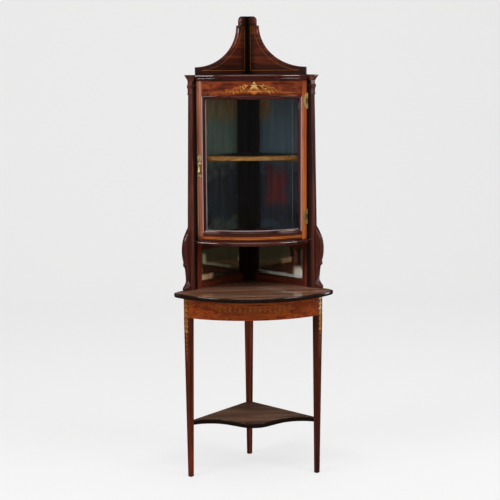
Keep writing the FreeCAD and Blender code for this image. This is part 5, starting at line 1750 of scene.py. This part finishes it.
# ---------------------------------------------------------------- studio
@dataclass
class Studio:
    """A pale floor that curves up into a backdrop, high soft lights and the camera.

    The floor and the sky show pale to the eye and through the glass. In reflections the sky is the
    dark of a deep room, so that polished wood and mirrors keep their depth.
    """

    pale: Colour = (0.838, 0.838, 0.838)
    shadow_share: float = 0.30
    glow: Colour = (0.93, 0.93, 0.93)
    ambient: float = 0.42
    room: Colour = (0.060, 0.060, 0.062)
    daylight: Colour = (1.0, 0.98, 0.96)
    floor_reflected: Colour = (0.060, 0.055, 0.050)
    camera_place: tuple[float, float, float] = (-0.3391, -4.5711, 1.6694)
    azimuth: float = math.radians(-4.13)
    dip: float = math.radians(9.09)
    roll: float = math.radians(-0.32)
    lens: float = 82.19

    @staticmethod
    def shares(recipe: Recipe) -> tuple[Socket, Socket]:
        """How the eye comes to a surface: straight or through glass, or by way of reflections alone.

        The first is max(camera, transmission) where no turn of the light came before, the second
        is one where there were glossy turns and no diffuse one.

        Returns:
            The sockets that carry the two shares.
        """
        rays = recipe.nodes.new("ShaderNodeLightPath").outputs
        glossy, diffuse = rays["Glossy Depth"], rays["Diffuse Depth"]
        direct = recipe.maths("MAXIMUM", rays["Is Camera Ray"], rays["Is Transmission Ray"])
        unturned = recipe.maths("LESS_THAN", recipe.maths("ADD", glossy, diffuse), 0.5)
        seen = recipe.maths("MULTIPLY", direct, unturned)
        turned = recipe.maths("GREATER_THAN", glossy, 0.5)
        return seen, recipe.maths("MULTIPLY", turned, recipe.maths("LESS_THAN", diffuse, 0.5))

    def backdrop(self) -> None:
        """A floor, a quarter circle of 1.5 m radius and a wall, as one sheet with its own even light."""
        t = np.linspace(0.0, QUARTER, 25)
        bend = pairs(3.5 + 1.5 * np.sin(t), 1.5 - 1.5 * np.cos(t))
        profile = np.concatenate([[[-9.0, 0.0]], bend, [[5.0, 9.0]]])
        x = np.array([-40.0, 40.0])[:, None]
        grid = np.stack(matched(x, profile[None, :, 0], profile[None, :, 1]), axis=-1)
        columns = grid.shape[1]
        v = np.arange(columns - 1)
        faces = np.stack([v, v + columns, v + columns + 1, v + 1], axis=-1).tolist()
        mesh = bpy.data.meshes.new("studio_backdrop")
        mesh.from_pydata(grid.reshape(-1, 3).tolist(), [], faces)
        mesh.shade_smooth()
        mesh.materials.append(self.paper())
        sheet = bpy.data.objects.new("studio_backdrop", mesh)
        bpy.context.scene.collection.objects.link(sheet)

    def paper(self) -> bpy.types.Material:
        """The backdrop's paper: even to the eye, lit by the lamps as light, and dim in reflections.

        A pale strip in front, cut in a shallow V, stays bright in reflections.
        """
        recipe = Recipe("studio_paper")
        recipe.set(Base_Color=self.pale, Roughness=0.9, Specular_IOR_Level=0.1)
        glow = recipe.nodes.new("ShaderNodeEmission")
        recipe.give(glow.inputs["Color"], self.glow)
        x, y = recipe.maths("ADD", recipe.axis(0), 0.34), recipe.axis(1)
        splay = recipe.maths("MAXIMUM", recipe.maths("MULTIPLY", x, -1.3), recipe.maths("MULTIPLY", x, 0.4))
        near = recipe.span(recipe.maths("ADD", splay, y), -4.42, -4.36, 0.0, 1.0)
        narrow = recipe.maths("LESS_THAN", recipe.maths("ABSOLUTE", x, 0.0), 0.8)
        in_front = recipe.maths("MULTIPLY", narrow, recipe.maths("LESS_THAN", y, -3.9))
        strip = recipe.maths("MULTIPLY", near, in_front)
        dim = recipe.nodes.new("ShaderNodeEmission")
        recipe.join(recipe.mix(strip, self.floor_reflected, self.pale), dim.inputs["Color"])
        seen, mirrored = self.shares(recipe)
        unseen = recipe.blend(mirrored, recipe.shader.outputs["BSDF"], dim.outputs["Emission"])
        share = recipe.maths("MULTIPLY", seen, 1.0 - self.shadow_share)
        whole = recipe.blend(share, unseen, glow.outputs["Emission"])
        recipe.join(whole, recipe.nodes["Material Output"].inputs["Surface"])
        return recipe.material

    def world(self) -> None:
        """The sky: pale to the eye, soft as light, and a dark room in reflections."""
        world = bpy.data.worlds.new("studio_world")
        recipe = Recipe.of_world(world)
        pale = recipe.nodes["Background"]
        soft, dark = recipe.nodes.new("ShaderNodeBackground"), recipe.nodes.new("ShaderNodeBackground")
        for sky, colour in ((pale, self.pale), (soft, self.daylight), (dark, self.room)):
            recipe.give(sky.inputs["Color"], colour)
        soft.inputs["Strength"].default_value = self.ambient
        seen, mirrored = self.shares(recipe)
        unseen = recipe.blend(mirrored, soft.outputs[0], dark.outputs[0])
        whole = recipe.blend(seen, unseen, pale.outputs[0])
        recipe.join(whole, recipe.nodes["World Output"].inputs["Surface"])
        bpy.context.scene.world = world

    @staticmethod
    def light(name: str, place: Sequence[float], aim: Sequence[float], size: tuple[float, float],
              power: float) -> None:
        """A soft rectangular lamp.

        Args:
            name: The lamp's name.
            place: Where it hangs.
            aim: The point that it faces.
            size: Its width and height.
            power: Its power in watts.
        """
        lamp = bpy.data.lights.new(name, "AREA")
        lamp.shape = "RECTANGLE"
        lamp.size, lamp.size_y = size
        lamp.energy = power
        thing = bpy.data.objects.new(name, lamp)
        thing.location = place
        thing.rotation_euler = (Vector(aim) - Vector(place)).to_track_quat("-Z", "Y").to_euler()
        bpy.context.scene.collection.objects.link(thing)

    def camera(self) -> None:
        """The camera: forward from azimuth and dip, right level with the floor, then a slight roll."""
        level = math.cos(self.dip)
        away, aside = math.cos(self.azimuth) * level, math.sin(self.azimuth) * level
        forward = -np.array([aside, -away, math.sin(self.dip)])
        right = np.cross(forward, (0.0, 0.0, 1.0))
        right /= np.linalg.norm(right)
        up = np.cross(right, forward)
        across = math.cos(self.roll) * right + math.sin(self.roll) * up
        over = -math.sin(self.roll) * right + math.cos(self.roll) * up
        lens = bpy.data.cameras.new("camera")
        lens.lens = self.lens
        lens.sensor_width = 36.0
        lens.clip_start, lens.clip_end = 0.1, 60.0
        thing = bpy.data.objects.new("camera", lens)
        turn = Matrix(np.stack([across, over, -forward], axis=1).tolist()).to_4x4()
        thing.matrix_world = Matrix.Translation(self.camera_place) @ turn
        bpy.context.scene.collection.objects.link(thing)
        bpy.context.scene.camera = thing

    def build(self) -> None:
        """Sets up the studio."""
        self.backdrop()
        self.world()
        middle, door = (0.0, 0.0, 1.0), (0.0, 0.0, 1.3)
        self.light("left_softbox", (-2.75, -1.75, 3.0), middle, (1.5, 0.9), 72.0)
        self.light("right_softbox", (2.4, -1.8, 3.0), middle, (1.2, 0.9), 48.0)
        self.light("left_strip", (-3.0, 0.25, 1.3), door, (0.35, 2.4), 1.2)
        self.light("right_strip", (3.0, 0.25, 1.3), door, (0.35, 2.4), 15.0)
        self.light("top_softbox", (0.0, -1.2, 4.2), middle, (2.4, 2.0), 40.0)
        self.camera()
        bpy.context.scene.view_settings.view_transform = "Standard"


def main() -> None:
    """Builds the cabinet, sub-assembly by sub-assembly, and its studio."""
    logging.basicConfig(level=logging.INFO, format="%(message)s")
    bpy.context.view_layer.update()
    for assembly in (Stand(), BackFrames(), Posts(), Case(), Door(), Fittings()):
        assembly.build()
    Studio().build()


if __name__ == "__main__":
    main()
